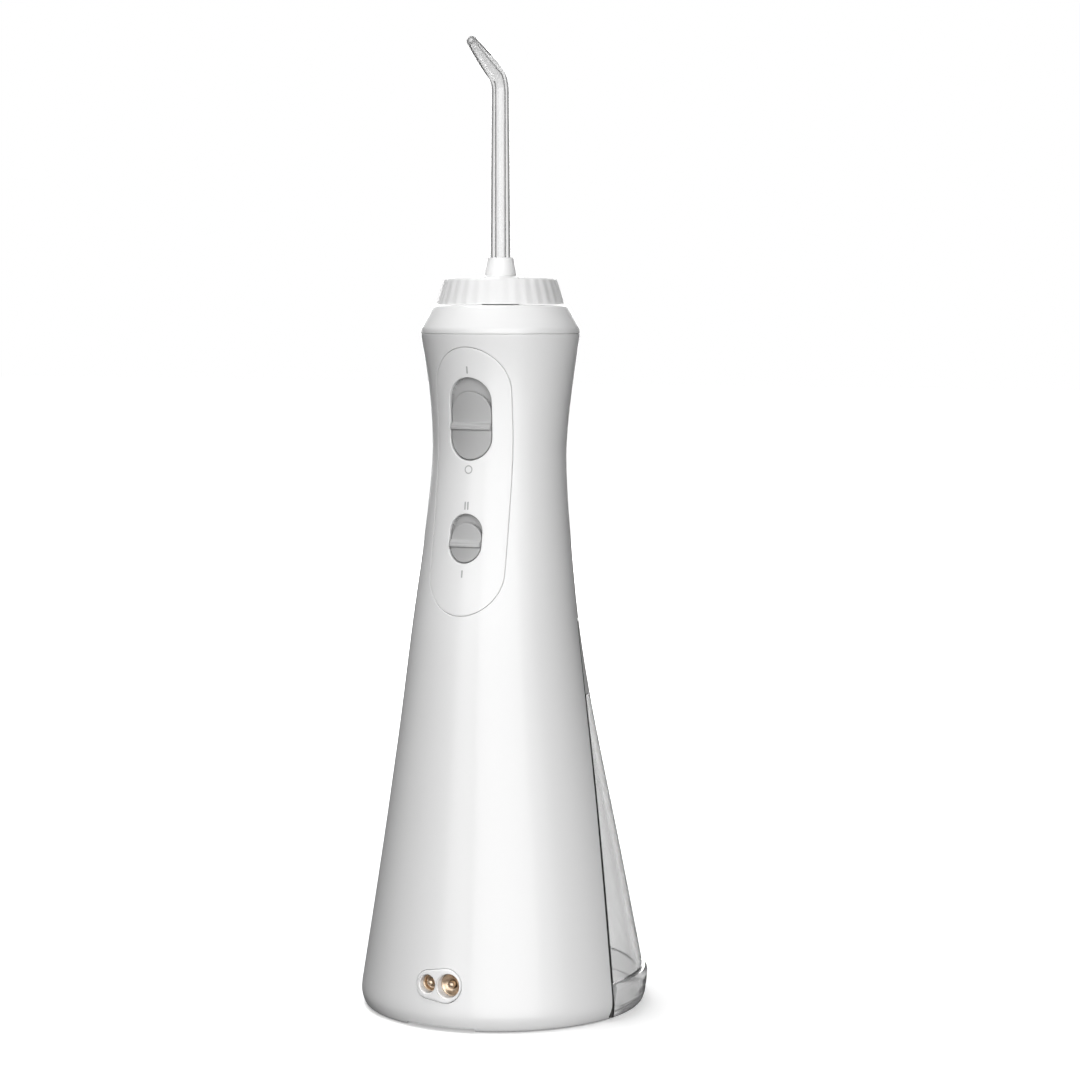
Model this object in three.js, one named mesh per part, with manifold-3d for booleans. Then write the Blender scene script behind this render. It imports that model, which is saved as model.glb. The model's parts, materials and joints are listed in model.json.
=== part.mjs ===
// A cordless water flosser that stands on its base. Millimetres, +Z up.
// The switches and the charging contacts face -Y, and the clear reservoir is the +Y half of the base.

import * as THREE from 'three';
import { mergeVertices } from 'three/addons/utils/BufferGeometryUtils.js';
import Module from 'manifold-3d';

const wasm = await Module();
wasm.setup();

// ---- Driving dimensions -------------------------------------------------------------------

const GAP = 0.3; // between pieces that touch
const WALL = 2.4; // casing wall
const TABLE = -4; // heights are measured from a plane 4 above the table; everything is raised at the end
const BOTTOM = TABLE + 0.3; // the feet hold the casing just off the table

const BASE_RADIUS = 43.9; // the cone's radius carried down to the table
const CONE_TOP = { radius: 31, z: 76 };
const NECK = { radius: 20.4, z: 166, y: -2.2 }; // the narrowest place, and the axis of knob and tip
const CASING_TOP = { radius: 24.4, z: 201.9 };
const BASE_ROUND = 2; // round under the base, outside
const INSIDE_ROUND = 3.5; // and inside
const FRONT_NOTCH = { halfWidth: 11.5, back: -38, height: 0.9 }; // shallow gap under the front of the base
const BASE_DEPTH_GAIN = 0.04; // the base is deeper than wide by this share
const ROUND_ABOVE = 100; // above this height the sections are circles

const SEAM = { yAtTable: -11.6, lean: 0.112, top: 115.5 }; // plane between casing and reservoir
const REAR_WALL = 3.2; // casing wall along that plane

const PANEL = { width: 24.8, height: 79.8, z: 158.1, thick: 1.2, ledge: 2 };
const POWER_SLOT = { width: 14, height: 24.9, z: 176.6, floor: -19.4 };
const PRESSURE_SLOT = { width: 10.9, height: 14.8, z: 141, floor: -22.4 };
const SLIDER = { sink: 0.4, thick: 1.6, side: 0.4, ridge: 0.8, ridgeHeight: 1.6 };
const TRAY = { thick: 1.0, rim: 1.5, wall: 1.2 }; // a slot's floor is a flat plane at y = slot.floor

const CONTACTS = { z: 9.5, left: -3.6, right: 3.3, leftRadius: 2.7, rightRadius: 3.5, pin: 1.1 };

const COLLAR = {
  bottom: 202.2, edgeTop: 203.5, top: 210.5, topRadius: 20.7, bore: 6.3, skirt: 20.7, skirtBottom: 198.6,
};
const KNOB = { bottom: 210.8, top: 218.7, bottomRadius: 19.5, topRadius: 17.1, flutes: 20, flute: 0.6 };
const SOCKET = {
  top: 224.8, topRadius: 3.95, footRadius: 5, bore: 3.6, bottom: 190.4, floor: 193.4, hole: 1.2,
  spindle: 5.6, flange: 7,
};
const TIP = {
  foot: 195, radius: 3.1, bore: 1.1, shaftTop: 274.7, topRadius: 2.65, bend: 6, angle: 62, end: 18.4,
  endRadius: 1.5,
};

const TANK = {
  wall: 1.8, floor: -0.2, lipBottom: 4.6, baseTop: 6.8, shellTop: 92.6, capBottom: 92.9, capTop: 115.2, lip: 1.2,
};
const DOOR = { width: 26, bottom: 96, top: 111.2, thick: 1.8, hingeRadius: 1.2, pinRadius: 0.6 };
const PORT = { x: 11, z: 84, tube: 2.2, hole: 4.2 }; // where the reservoir's tube meets the casing

const CELL = { radius: 7, length: 48, x: 8.2, y: -24, bottom: 7.6 };
const MOTOR = { radius: 10, y: -20, bottom: 62, top: 89, boss: 3 };
const GEAR = { z: 104, face: -16.7, back: -13.2, radius: 10.5, teeth: 18, crank: 2.5, axle: 1.5 };
const ROD = { y: -10.3, thick: 3, length: 22 }; // short enough for the piston to reach its lowest place alone
const PUMP = { radius: 6.2, bore: 5.1, bottom: 132, top: 152, portZ: 144.5 };
const BOARD = { halfWidth: 8, front: -18.1, back: -16.9, bottom: 134, top: 189 };
const BEARING = {
  radius: 9.5, bottom: 187, floor: 190, top: 201.6, bore: 6.1, hole: 1.2, nipple: 2.4, nippleEnd: 183,
};
const EJECT = { width: 11, height: 13, z: 186, proud: 0.7 };

// ---- Finishes -----------------------------------------------------------------------------

const FINISHES = {
  white: { color: 0xf4f4f3, roughness: 0.32, metalness: 0 },
  knobWhite: { color: 0xe9e9e8, roughness: 0.38, metalness: 0 },
  switchGrey: { color: 0xbfbfbe, roughness: 0.45, metalness: 0 },
  clear: { color: 0xe8eef0, roughness: 0.06, metalness: 0, transparent: true, opacity: 0.35 },
  gold: { color: 0xc79a4b, roughness: 0.25, metalness: 1 },
  steel: { color: 0xb9bcc0, roughness: 0.3, metalness: 1 },
  rubber: { color: 0x8d8f90, roughness: 0.8, metalness: 0 },
  hose: { color: 0xd9dcdc, roughness: 0.5, metalness: 0 },
  nylon: { color: 0xe3dfd2, roughness: 0.5, metalness: 0 },
  board: { color: 0x1f6b43, roughness: 0.55, metalness: 0 },
  cell: { color: 0x3b6ea8, roughness: 0.4, metalness: 0 },
  blackPlastic: { color: 0x26282a, roughness: 0.5, metalness: 0 },
  redWire: { color: 0xb3261e, roughness: 0.5, metalness: 0 },
};

// ---- Solids -------------------------------------------------------------------------------

function signedVolume(vertices, triangles) {
  const corner = [new THREE.Vector3(), new THREE.Vector3(), new THREE.Vector3()];
  let volume = 0;
  for (let t = 0; t < triangles.length; t += 3) {
    corner.forEach((point, k) => point.fromArray(vertices, 3 * triangles[t + k]));
    volume += corner[0].dot(corner[1].cross(corner[2])) / 6;
  }
  return volume;
}

// A closed geometry as a manifold solid, turned right side out.
function solid(geometry) {
  const bare = new THREE.BufferGeometry();
  bare.setAttribute('position', geometry.getAttribute('position').clone());
  bare.setIndex(geometry.getIndex());
  const merged = mergeVertices(bare, 1e-4);
  const vertices = new Float32Array(merged.getAttribute('position').array);
  const triangles = [];
  const index = merged.getIndex().array;
  for (let t = 0; t < index.length; t += 3) {
    const [a, b, c] = index.slice(t, t + 3);
    if (a !== b && b !== c && c !== a) triangles.push(a, b, c);
  }
  if (signedVolume(vertices, triangles) < 0) triangles.reverse();
  const mesh = new wasm.Mesh({ numProp: 3, vertProperties: vertices, triVerts: new Uint32Array(triangles) });
  return new wasm.Manifold(mesh);
}

function union(...solids) {
  return solids.reduce((sum, piece) => sum.add(piece));
}

// Rings of equal count, joined in order and closed at both ends.
function loft(rings) {
  const sides = rings[0].length;
  const points = rings.flat();
  const first = points.length;
  const middle = (ring) => (
    ring.reduce((sum, point) => sum.add(point), new THREE.Vector3()).divideScalar(sides));
  points.push(middle(rings[0]), middle(rings[rings.length - 1]));
  const index = [];
  for (let i = 0; i < sides; i += 1) {
    const next = (i + 1) % sides;
    const last = (rings.length - 1) * sides;
    index.push(first, next, i);
    index.push(first + 1, last + i, last + next);
    for (let r = 0; r < last; r += sides) {
      index.push(r + i, r + next, r + sides + next);
      index.push(r + i, r + sides + next, r + sides + i);
    }
  }
  const geometry = new THREE.BufferGeometry().setFromPoints(points);
  geometry.setIndex(index);
  return solid(geometry);
}

// A round bar along a curve, whose radius is a function of the share of its length.
function sweep(curve, radius, sides, steps) {
  const frames = curve.computeFrenetFrames(steps, false);
  return loft(Array.from({ length: steps + 1 }, (_, s) => {
    const at = curve.getPointAt(s / steps);
    return Array.from({ length: sides }, (__, i) => {
      const angle = (2 * Math.PI * i) / sides;
      const out = frames.normals[s].clone().multiplyScalar(Math.cos(angle) * radius(s / steps));
      return out.addScaledVector(frames.binormals[s], Math.sin(angle) * radius(s / steps)).add(at);
    });
  }));
}

// A profile of [radius, height] points turned about +Z.
function turned(profile, sides = 24) {
  const points = profile.map(([radius, height]) => new THREE.Vector2(radius, height));
  return solid(new THREE.LatheGeometry(points, sides).rotateX(Math.PI / 2));
}

function drum(radius, bottom, top, sides = 24) {
  return turned([[0, bottom], [radius, bottom], [radius, top], [0, top]], sides);
}

function ring(inner, outer, bottom, top, sides = 24) {
  return turned([[inner, bottom], [outer, bottom], [outer, top], [inner, top], [inner, bottom]], sides);
}

function block(low, high) {
  const size = high.map((value, k) => value - low[k]);
  const box = new THREE.BoxGeometry(...size);
  return solid(box.translate(...low.map((value, k) => value + size[k] / 2)));
}

// An outline drawn with x across and z up, made solid from y = low to y = high.
function alongY(shape, low, high, curveSegments = 4) {
  const depth = high - low;
  const geometry = new THREE.ExtrudeGeometry(shape, { depth, bevelEnabled: false, curveSegments });
  return solid(geometry.rotateX(Math.PI / 2).translate(0, high, 0));
}

// An outline drawn with y across and z up, made solid from x = -half to x = +half.
function alongX(points, half) {
  const shape = new THREE.Shape(points.map(([y, z]) => new THREE.Vector2(y, z)));
  const geometry = new THREE.ExtrudeGeometry(shape, { depth: 2 * half, bevelEnabled: false });
  const axes = [new THREE.Vector3(0, 1, 0), new THREE.Vector3(0, 0, 1), new THREE.Vector3(1, 0, 0)];
  return solid(geometry.applyMatrix4(new THREE.Matrix4().makeBasis(...axes)).translate(-half, 0, 0));
}

function roundedBox(width, height, corner, x, z) {
  const shape = new THREE.Shape();
  const dx = width / 2 - corner;
  const dz = height / 2 - corner;
  shape.absarc(x + dx, z + dz, corner, 0, Math.PI / 2);
  shape.absarc(x - dx, z + dz, corner, Math.PI / 2, Math.PI);
  shape.absarc(x - dx, z - dz, corner, Math.PI, 1.5 * Math.PI);
  shape.absarc(x + dx, z - dz, corner, 1.5 * Math.PI, 2 * Math.PI);
  return shape;
}

const capsule = (width, height, x, z) => roundedBox(width, height, Math.min(width, height) / 2, x, z);

// A drum lying along Y.
function barY(radius, x, z, low, high, sides = 16) {
  return drum(radius, low, high, sides).rotate([-90, 0, 0]).translate([x, 0, z]);
}

// ---- The outer surface --------------------------------------------------------------------

const flat = (across, z) => new THREE.Vector2(across, z);

const SIDE_LINE = new THREE.CurvePath();
const coneTop = flat(CONE_TOP.radius, CONE_TOP.z);
const neck = flat(NECK.radius, NECK.z);
const casingTop = flat(CASING_TOP.radius, CASING_TOP.z);
const coneSlope = (BASE_RADIUS - CONE_TOP.radius) / CONE_TOP.z;
SIDE_LINE.add(new THREE.LineCurve(flat(BASE_RADIUS, 0), coneTop));
SIDE_LINE.add(new THREE.CubicBezierCurve(
  coneTop, flat(CONE_TOP.radius - 30 * coneSlope, CONE_TOP.z + 30), flat(NECK.radius, NECK.z - 14), neck));
SIDE_LINE.add(new THREE.CubicBezierCurve(
  neck, flat(NECK.radius, NECK.z + 12), flat(CASING_TOP.radius - 1.8, CASING_TOP.z - 10), casingTop));
const SIDE_POINTS = SIDE_LINE.getPoints(24);

// The middle of each section: the belly leans forward of the neck, and the base sits back under it.
const MIDDLE_POINTS = new THREE.SplineCurve([
  flat(-0.24, 0), flat(-2.1, 45), flat(-5.6, 105), flat(-4.4, 140), flat(NECK.y, 182),
  flat(NECK.y, CASING_TOP.z),
]).getPoints(60);

function valueAt(points, z) {
  const upper = points.findIndex((p) => p.y > z);
  if (upper < 0) return points[points.length - 1].x;
  if (upper === 0) return points[0].x;
  const [low, high] = [points[upper - 1], points[upper]];
  return THREE.MathUtils.mapLinear(z, low.y, high.y, low.x, high.x);
}

function section(z) {
  const radius = valueAt(SIDE_POINTS, z);
  const gain = BASE_DEPTH_GAIN * Math.max(0, 1 - z / ROUND_ABOVE);
  return { across: radius, deep: radius * (1 + gain), middle: valueAt(MIDDLE_POINTS, z) };
}

const frontAt = (z) => section(z).middle - section(z).deep;
const backAt = (z) => section(z).middle + section(z).deep;
const seamAt = (z) => SEAM.yAtTable + SEAM.lean * z;

function levels(bottom, top, inset, step) {
  const count = Math.max(1, Math.round((top - bottom) / step));
  return Array.from({ length: count + 1 }, (_, i) => ({ z: bottom + ((top - bottom) * i) / count, inset }));
}

function roundUnder(bottom, radius, inset) {
  const steps = 4;
  return Array.from({ length: steps }, (_, i) => {
    const angle = (Math.PI / 2) * (i / steps);
    return { z: bottom + radius * (1 - Math.cos(angle)), inset: inset + radius * (1 - Math.sin(angle)) };
  });
}

// The flosser's outer form through the given levels, each moved in by its inset.
function form(stations, sides = 40) {
  return loft(stations.map(({ z, inset }) => {
    const { across, deep, middle } = section(z);
    return Array.from({ length: sides }, (_, i) => {
      const angle = (2 * Math.PI * i) / sides;
      const [x, y] = [(across - inset) * Math.cos(angle), (deep - inset) * Math.sin(angle)];
      return new THREE.Vector3(x, middle + y, z);
    });
  }));
}

// The layer of the form from `outer` to `inner` below the surface, between two heights.
function layer(outer, inner, bottom, top, step = 14) {
  const skin = form(levels(bottom, top, outer, step));
  return skin.subtract(form(levels(bottom - 1, top + 1, inner, step)));
}

// The part of that layer behind an outline, at the front or at the back.
function patch(shape, outer, inner, bottom, top, back = false) {
  const window = back ? alongY(shape, 0, 60) : alongY(shape, -60, 0);
  return layer(outer, inner, bottom, top).intersect(window);
}

// ---- Scene graph --------------------------------------------------------------------------

const flosser = new THREE.Group();
const groups = {};
['handle', 'power', 'pressure', 'knob', 'tip', 'eject', 'motor', 'gear', 'rod', 'piston', 'tank', 'door']
  .forEach((name) => {
    groups[name] = new THREE.Group();
    groups[name].position.z = -TABLE;
    flosser.add(groups[name]);
  });

function add(group, name, piece, finish) {
  const { vertProperties, triVerts } = piece.getMesh();
  const geometry = new THREE.BufferGeometry();
  geometry.setAttribute('position', new THREE.BufferAttribute(vertProperties, 3));
  geometry.setIndex(new THREE.BufferAttribute(triVerts, 1));
  geometry.computeVertexNormals();
  const mesh = new THREE.Mesh(geometry, new THREE.MeshStandardMaterial(FINISHES[finish]));
  mesh.name = name;
  groups[group].add(mesh);
  return mesh;
}

// ---- Casing -------------------------------------------------------------------------------

// Everything behind the seam plane and below its top, moved forward by `shift`.
function behindSeam(shift, top = SEAM.top) {
  return alongX([[seamAt(-10) + shift, -10], [90, -10], [90, top], [seamAt(top) + shift, top]], 70);
}

const panelOutline = (grow) => capsule(PANEL.width + grow, PANEL.height + grow, 0, PANEL.z);
const slotOutline = (slot, grow) => capsule(slot.width + grow, slot.height + grow, 0, slot.z);
const ejectOutline = (grow) => capsule(EJECT.width + grow, EJECT.height + grow, 0, EJECT.z);
const PANEL_BOTTOM = PANEL.z - PANEL.height / 2;
const PANEL_TOP = PANEL.z + PANEL.height / 2;

function contactOutline(grow) {
  const [left, right] = [{ x: -3.3, r: 4.1 + grow }, { x: 2.5, r: 5 + grow }];
  const tilt = Math.acos((left.r - right.r) / (right.x - left.x));
  const shape = new THREE.Shape();
  shape.absarc(right.x, CONTACTS.z, right.r, -tilt, tilt);
  shape.absarc(left.x, CONTACTS.z, left.r, tilt, 2 * Math.PI - tilt);
  return shape;
}

const REAR_COVER = { width: 35.4, bottom: 14, top: 106, corner: 4, pocket: 1.8, thick: 1.5, ledge: 2.5 };
const coverOutline = (grow) => roundedBox(REAR_COVER.width + grow,
  REAR_COVER.top - REAR_COVER.bottom + grow, REAR_COVER.corner, 0, (REAR_COVER.top + REAR_COVER.bottom) / 2);

// A slab between two planes parallel to the seam plane, both measured forward of it.
function seamSlab(near, far) {
  const [low, high] = [-10, SEAM.top + 20];
  return alongX([
    [seamAt(low) - far, low], [seamAt(low) - near, low],
    [seamAt(high) - near, high], [seamAt(high) - far, high],
  ], 60);
}

const FOOT = { thick: 1.2, pocket: 1.5, corner: 4, length: 9, front: { width: 26, y: -29.5 } };
const TANK_FOOT = { width: 14, x: 17, y: 25 };

function footOutline(width, x, y, grow) {
  return roundedBox(width + grow, FOOT.length + grow, FOOT.corner, x, -y);
}

const frontFootOutline = (grow) => footOutline(FOOT.front.width, 0, FOOT.front.y, grow);
const tankFootOutline = (x, grow) => footOutline(TANK_FOOT.width, x, TANK_FOOT.y, grow);

// An outline drawn with x across and -y up, made solid from z = low to z = high.
function pad(shape, low, high) {
  const options = { depth: high - low, bevelEnabled: false, curveSegments: 6 };
  const geometry = new THREE.ExtrudeGeometry(shape, options);
  return solid(geometry.rotateX(Math.PI).translate(0, 0, high));
}

function mainCasing() {
  const outer = form([
    ...roundUnder(BOTTOM, BASE_ROUND, 0), { z: 0, inset: 0 }, ...levels(26, CONE_TOP.z, 0, 25).slice(0, -1),
    ...levels(CONE_TOP.z, CASING_TOP.z, 0, 9),
  ]);
  const hollow = form([
    ...roundUnder(BOTTOM + WALL, INSIDE_ROUND, WALL),
    ...levels(BOTTOM + WALL + INSIDE_ROUND, CONE_TOP.z, WALL, 37).slice(0, -1),
    ...levels(CONE_TOP.z, CASING_TOP.z + 5, WALL, 14),
  ], 28).subtract(behindSeam(-REAR_WALL, SEAM.top + WALL));
  const notch = block(
    [-FRONT_NOTCH.halfWidth, -60, TABLE - 1],
    [FRONT_NOTCH.halfWidth, FRONT_NOTCH.back, BOTTOM + FRONT_NOTCH.height]);
  return outer
    .subtract(notch)
    .subtract(behindSeam(0))
    .subtract(hollow)
    .subtract(patch(panelOutline(2 * GAP), -2, PANEL.thick + GAP, PANEL_BOTTOM - 1, PANEL_TOP + 1))
    .subtract(alongY(panelOutline(-2 * PANEL.ledge), -60, NECK.y))
    .subtract(alongY(contactOutline(GAP), -60, -30))
    .subtract(alongY(ejectOutline(2 * GAP), NECK.y, 60))
    .subtract(alongY(coverOutline(2 * GAP), -60, 60).intersect(seamSlab(-1, REAR_COVER.pocket)))
    .subtract(alongY(coverOutline(-2 * REAR_COVER.ledge), -60, 60).intersect(seamSlab(-1, REAR_WALL + 1)))
    .subtract(pad(frontFootOutline(2 * GAP), TABLE - 1, TABLE + FOOT.pocket));
}

add('handle', 'main_casing', mainCasing(), 'white');

// The cover is a slab in the pocket, drilled for four screws and for the reservoir's tube.
const SCREWS = [-1, 1].flatMap((side) => [19, 101].map((z) => ({ x: 14.2 * side, z })));
const SCREW = { head: 2.2, headDepth: 0.9, hole: 2.5, length: 1.3 };

function rearCover() {
  let cover = alongY(coverOutline(0), -60, 60).intersect(seamSlab(0, REAR_COVER.thick));
  cover = cover.subtract(barY(PORT.hole, PORT.x, PORT.z, -20, 20, 24));
  SCREWS.forEach(({ x, z }) => {
    const pocket = barY(SCREW.hole, x, z, -20, seamAt(z) + 3, 20);
    cover = cover.subtract(pocket.intersect(seamSlab(-4, SCREW.length)));
  });
  return cover;
}

add('handle', 'rear_cover', rearCover(), 'white');
const seamTilt = THREE.MathUtils.radToDeg(Math.atan(SEAM.lean));
SCREWS.forEach(({ x, z }, i) => {
  const rim = turned([
    [0, 0], [SCREW.head, 0], [SCREW.head, SCREW.headDepth - 0.3], [SCREW.head - 0.4, SCREW.headDepth],
    [0, SCREW.headDepth],
  ], 20);
  const slot = [0, 90].map((turn) => block([-1.3, -0.3, 0.4], [1.3, 0.3, 2]).rotate([0, 0, turn]));
  const head = rim.subtract(union(...slot)).rotate([-90 - seamTilt, 0, 0]);
  const mesh = add('handle', `cover_screw_${i + 1}`, head, 'steel');
  mesh.position.set(x, seamAt(z) - SCREW.length + GAP, z);
});

add('handle', 'front_foot', pad(frontFootOutline(0), TABLE, TABLE + FOOT.thick), 'rubber');

// ---- Charging contacts --------------------------------------------------------------------

function contactBoss() {
  const face = frontAt(CONTACTS.z);
  let boss = form(levels(CONTACTS.z - 7.5, CONTACTS.z + 7.5, -0.5, 4)).intersect(alongY(contactOutline(0), -60, face + 7));
  [[CONTACTS.left, CONTACTS.leftRadius], [CONTACTS.right, CONTACTS.rightRadius]].forEach(([x, radius]) => {
    boss = boss.subtract(barY(radius, x, CONTACTS.z, -60, face + 4.5, 24));
    boss = boss.subtract(barY(CONTACTS.pin + GAP, x, CONTACTS.z, -60, face + 9, 16));
  });
  return boss;
}

add('handle', 'contact_boss', contactBoss(), 'white');

function contactPin(radius) {
  const [point, foot] = [1.4, 9];
  const profile = [[0, -foot], [radius, -foot], [radius, -point - 0.6], [radius - 0.5, -point], [0, -point]];
  return turned(profile, 16).rotate([90, 0, 0]);
}

[['left', CONTACTS.left], ['right', CONTACTS.right]].forEach(([side, x]) => {
  const mesh = add('handle', `contact_pin_${side}`, contactPin(CONTACTS.pin), 'gold');
  mesh.position.set(x, frontAt(CONTACTS.z), CONTACTS.z);
});

// ---- Control panel and switches -----------------------------------------------------------

const panel = patch(panelOutline(0), 0, PANEL.thick, PANEL_BOTTOM - 1, PANEL_TOP + 1)
  .subtract(alongY(slotOutline(POWER_SLOT, 0), -60, 0))
  .subtract(alongY(slotOutline(PRESSURE_SLOT, 0), -60, 0));
add('handle', 'control_panel', panel, 'white');

function switchTray(slot, stemTravel) {
  const back = slot.floor + TRAY.thick;
  const outside = alongY(slotOutline(slot, 2 * TRAY.wall + 2 * GAP), -60, back);
  return outside.intersect(form(levels(slot.z - 17, slot.z + 17, TRAY.rim, 9)))
    .subtract(alongY(slotOutline(slot, 2 * GAP), -60, slot.floor))
    .subtract(alongY(capsule(3, 4 + stemTravel, 0, slot.z), -60, 0));
}

// A thumb slider lies at the bottom of its slot. Its stem goes through the tray.
function slider(slot, travel) {
  const height = slot.height - travel - 2 * SLIDER.side + 0.4;
  const z = slot.z - slot.height / 2 + SLIDER.side + height / 2;
  const [bottom, top] = [z - height / 2 - 2, z + height / 2 + 2];
  const plateOutline = capsule(slot.width - 2 * SLIDER.side, height, 0, z);
  const plate = patch(plateOutline, SLIDER.sink, SLIDER.sink + SLIDER.thick, bottom, top);
  const ridgeOutline = roundedBox(slot.width - 2, SLIDER.ridgeHeight, 0.4, 0, z - 0.5);
  const ridge = patch(ridgeOutline, -SLIDER.ridge, SLIDER.sink + 0.5, bottom, top);
  const stemZ = slot.z - travel / 2;
  const stemFront = frontAt(stemZ) + SLIDER.sink + SLIDER.thick / 2;
  const stem = block([-1.1, stemFront, stemZ - 1.6], [1.1, slot.floor + 0.8, stemZ + 1.6]);
  return union(plate, ridge, stem);
}

const POWER_TRAVEL = 4;
const PRESSURE_TRAVEL = 2.5;
add('handle', 'power_switch_tray', switchTray(POWER_SLOT, POWER_TRAVEL), 'switchGrey');
add('handle', 'pressure_switch_tray', switchTray(PRESSURE_SLOT, PRESSURE_TRAVEL), 'switchGrey');
add('power', 'power_slider', slider(POWER_SLOT, POWER_TRAVEL), 'switchGrey');
add('pressure', 'pressure_slider', slider(PRESSURE_SLOT, PRESSURE_TRAVEL), 'switchGrey');

// ---- Collar, bearing, knob and tip --------------------------------------------------------

const onAxis = (piece) => piece.translate([0, NECK.y, 0]);

const collar = turned([
  [COLLAR.bore, COLLAR.bottom], [COLLAR.skirt - WALL, COLLAR.bottom],
  [COLLAR.skirt - WALL, COLLAR.skirtBottom], [COLLAR.skirt, COLLAR.skirtBottom],
  [COLLAR.skirt, COLLAR.bottom], [CASING_TOP.radius, COLLAR.bottom],
  [CASING_TOP.radius, COLLAR.edgeTop], [COLLAR.topRadius, COLLAR.top - 0.4],
  [COLLAR.topRadius - 0.5, COLLAR.top], [COLLAR.bore, COLLAR.top], [COLLAR.bore, COLLAR.bottom],
], 40);
add('handle', 'top_collar', onAxis(collar), 'white');

const bearing = turned([
  [BEARING.hole, BEARING.nippleEnd], [BEARING.nipple, BEARING.nippleEnd],
  [BEARING.nipple, BEARING.bottom], [BEARING.radius, BEARING.bottom], [BEARING.radius, BEARING.top],
  [BEARING.bore, BEARING.top], [BEARING.bore, BEARING.floor], [BEARING.hole, BEARING.floor],
  [BEARING.hole, BEARING.nippleEnd],
]);
add('handle', 'spindle_bearing', onAxis(bearing), 'nylon');

// Flutes make a wave round the knob's wall that dies out at its top and bottom edges.
function knob() {
  const sides = 4 * KNOB.flutes;
  const height = KNOB.top - KNOB.bottom;
  const stations = [[0, 0.4, 0], [0.8, 0, 1], [height - 1.2, 0, 1], [height - 0.5, 0.1, 0], [height, 0.6, 0]];
  const wall = loft(stations.map(([up, inset, wave]) => {
    const radius = THREE.MathUtils.lerp(KNOB.bottomRadius, KNOB.topRadius, up / height) - inset;
    return Array.from({ length: sides }, (_, i) => {
      const angle = (2 * Math.PI * i) / sides;
      const out = radius - KNOB.flute * wave * (0.5 + 0.5 * Math.cos(KNOB.flutes * angle));
      return new THREE.Vector3(out * Math.cos(angle), out * Math.sin(angle), KNOB.bottom + up);
    });
  }));
  const under = ring(SOCKET.flange + 1.5, KNOB.topRadius - 2, KNOB.bottom - 1, KNOB.top - 3, 32);
  return wall.subtract(under).subtract(drum(SOCKET.flange + GAP, KNOB.bottom - 1, KNOB.top + 1, 32));
}

add('knob', 'rotation_knob', onAxis(knob()), 'knobWhite');

const FLARE = { height: 1.44, edge: 0.4, start: 0.3, steps: 4 };
const flare = Array.from({ length: FLARE.steps + 1 }, (_, i) => {
  const angle = (Math.PI / 2) * (i / FLARE.steps);
  const reach = SOCKET.flange - FLARE.edge - SOCKET.footRadius;
  const up = KNOB.top + FLARE.start + FLARE.height * (1 - Math.cos(angle));
  return [SOCKET.footRadius + reach * (1 - Math.sin(angle)), up];
});
const socket = turned([
  [SOCKET.bore, SOCKET.floor], [SOCKET.bore, SOCKET.top], [SOCKET.topRadius, SOCKET.top],
  ...flare.reverse(), [SOCKET.flange, KNOB.top], [SOCKET.flange, KNOB.bottom],
  [SOCKET.spindle, KNOB.bottom], [SOCKET.spindle, SOCKET.bottom], [SOCKET.hole, SOCKET.bottom],
  [SOCKET.hole, SOCKET.floor], [SOCKET.bore, SOCKET.floor],
]);
add('knob', 'tip_socket', onAxis(socket), 'white');

function oRing(radius, wire, z, sides = 20) {
  return solid(new THREE.TorusGeometry(radius, wire, 5, sides)).translate([0, 0, z]);
}

// The tip's middle line goes straight up, bends forward and ends in a short straight stretch.
class TipLine extends THREE.Curve {
  constructor() {
    super();
    this.rise = TIP.shaftTop - TIP.foot;
    this.turn = THREE.MathUtils.degToRad(TIP.angle);
    this.total = this.rise + TIP.bend * this.turn + TIP.end;
  }

  getPoint(share, target = new THREE.Vector3()) {
    const along = share * this.total;
    if (along <= this.rise) return target.set(0, 0, TIP.foot + along);
    const angle = Math.min(this.turn, (along - this.rise) / TIP.bend);
    const beyond = Math.max(0, along - this.rise - TIP.bend * this.turn);
    const forward = TIP.bend * (1 - Math.cos(angle)) + beyond * Math.sin(angle);
    return target.set(0, -forward, TIP.shaftTop + TIP.bend * Math.sin(angle) + beyond * Math.cos(angle));
  }
}

function tipRadius(share) {
  const line = new TipLine();
  const along = share * line.total;
  const straight = SOCKET.top - TIP.foot;
  const taper = THREE.MathUtils.mapLinear(along, straight, line.rise, TIP.radius, TIP.topRadius);
  const left = line.total - along;
  const narrowing = THREE.MathUtils.smoothstep(left, 0, TIP.end);
  const shaft = along < straight ? TIP.radius : Math.min(TIP.radius, Math.max(taper, TIP.topRadius));
  return along < line.rise ? shaft : THREE.MathUtils.lerp(TIP.endRadius, TIP.topRadius, Math.sqrt(narrowing));
}

const tipLine = new TipLine();
const tipBody = sweep(tipLine, tipRadius, 10, 26).subtract(sweep(tipLine, () => TIP.bore, 6, 26)
  .add(drum(TIP.bore, TIP.foot - 2, TIP.foot + 1, 6)));
const tipGroove = ring(2.5, TIP.radius + 1, TIP.foot + 2.4, TIP.foot + 3.8, 20);
add('tip', 'jet_tip', onAxis(tipBody.subtract(tipGroove)), 'clear');
add('tip', 'tip_seal', onAxis(oRing(3.0, 0.4, TIP.foot + 3.1)), 'rubber');

// ---- Tip release --------------------------------------------------------------------------

const PLUNGER_RADIUS = 2;
const button = patch(ejectOutline(0), -EJECT.proud, 2, EJECT.z - 9, EJECT.z + 9, true)
  .add(barY(PLUNGER_RADIUS, 0, EJECT.z, NECK.y + BEARING.radius + 2.8, backAt(EJECT.z) - 1));
add('eject', 'eject_button', button, 'white');

function coilSpring(radius, wire, length, turns) {
  class Coil extends THREE.Curve {
    getPoint(t, target = new THREE.Vector3()) {
      const angle = 2 * Math.PI * turns * t;
      return target.set(radius * Math.cos(angle), radius * Math.sin(angle), length * t);
    }
  }
  return sweep(new Coil(), () => wire, 5, turns * 8);
}

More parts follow.
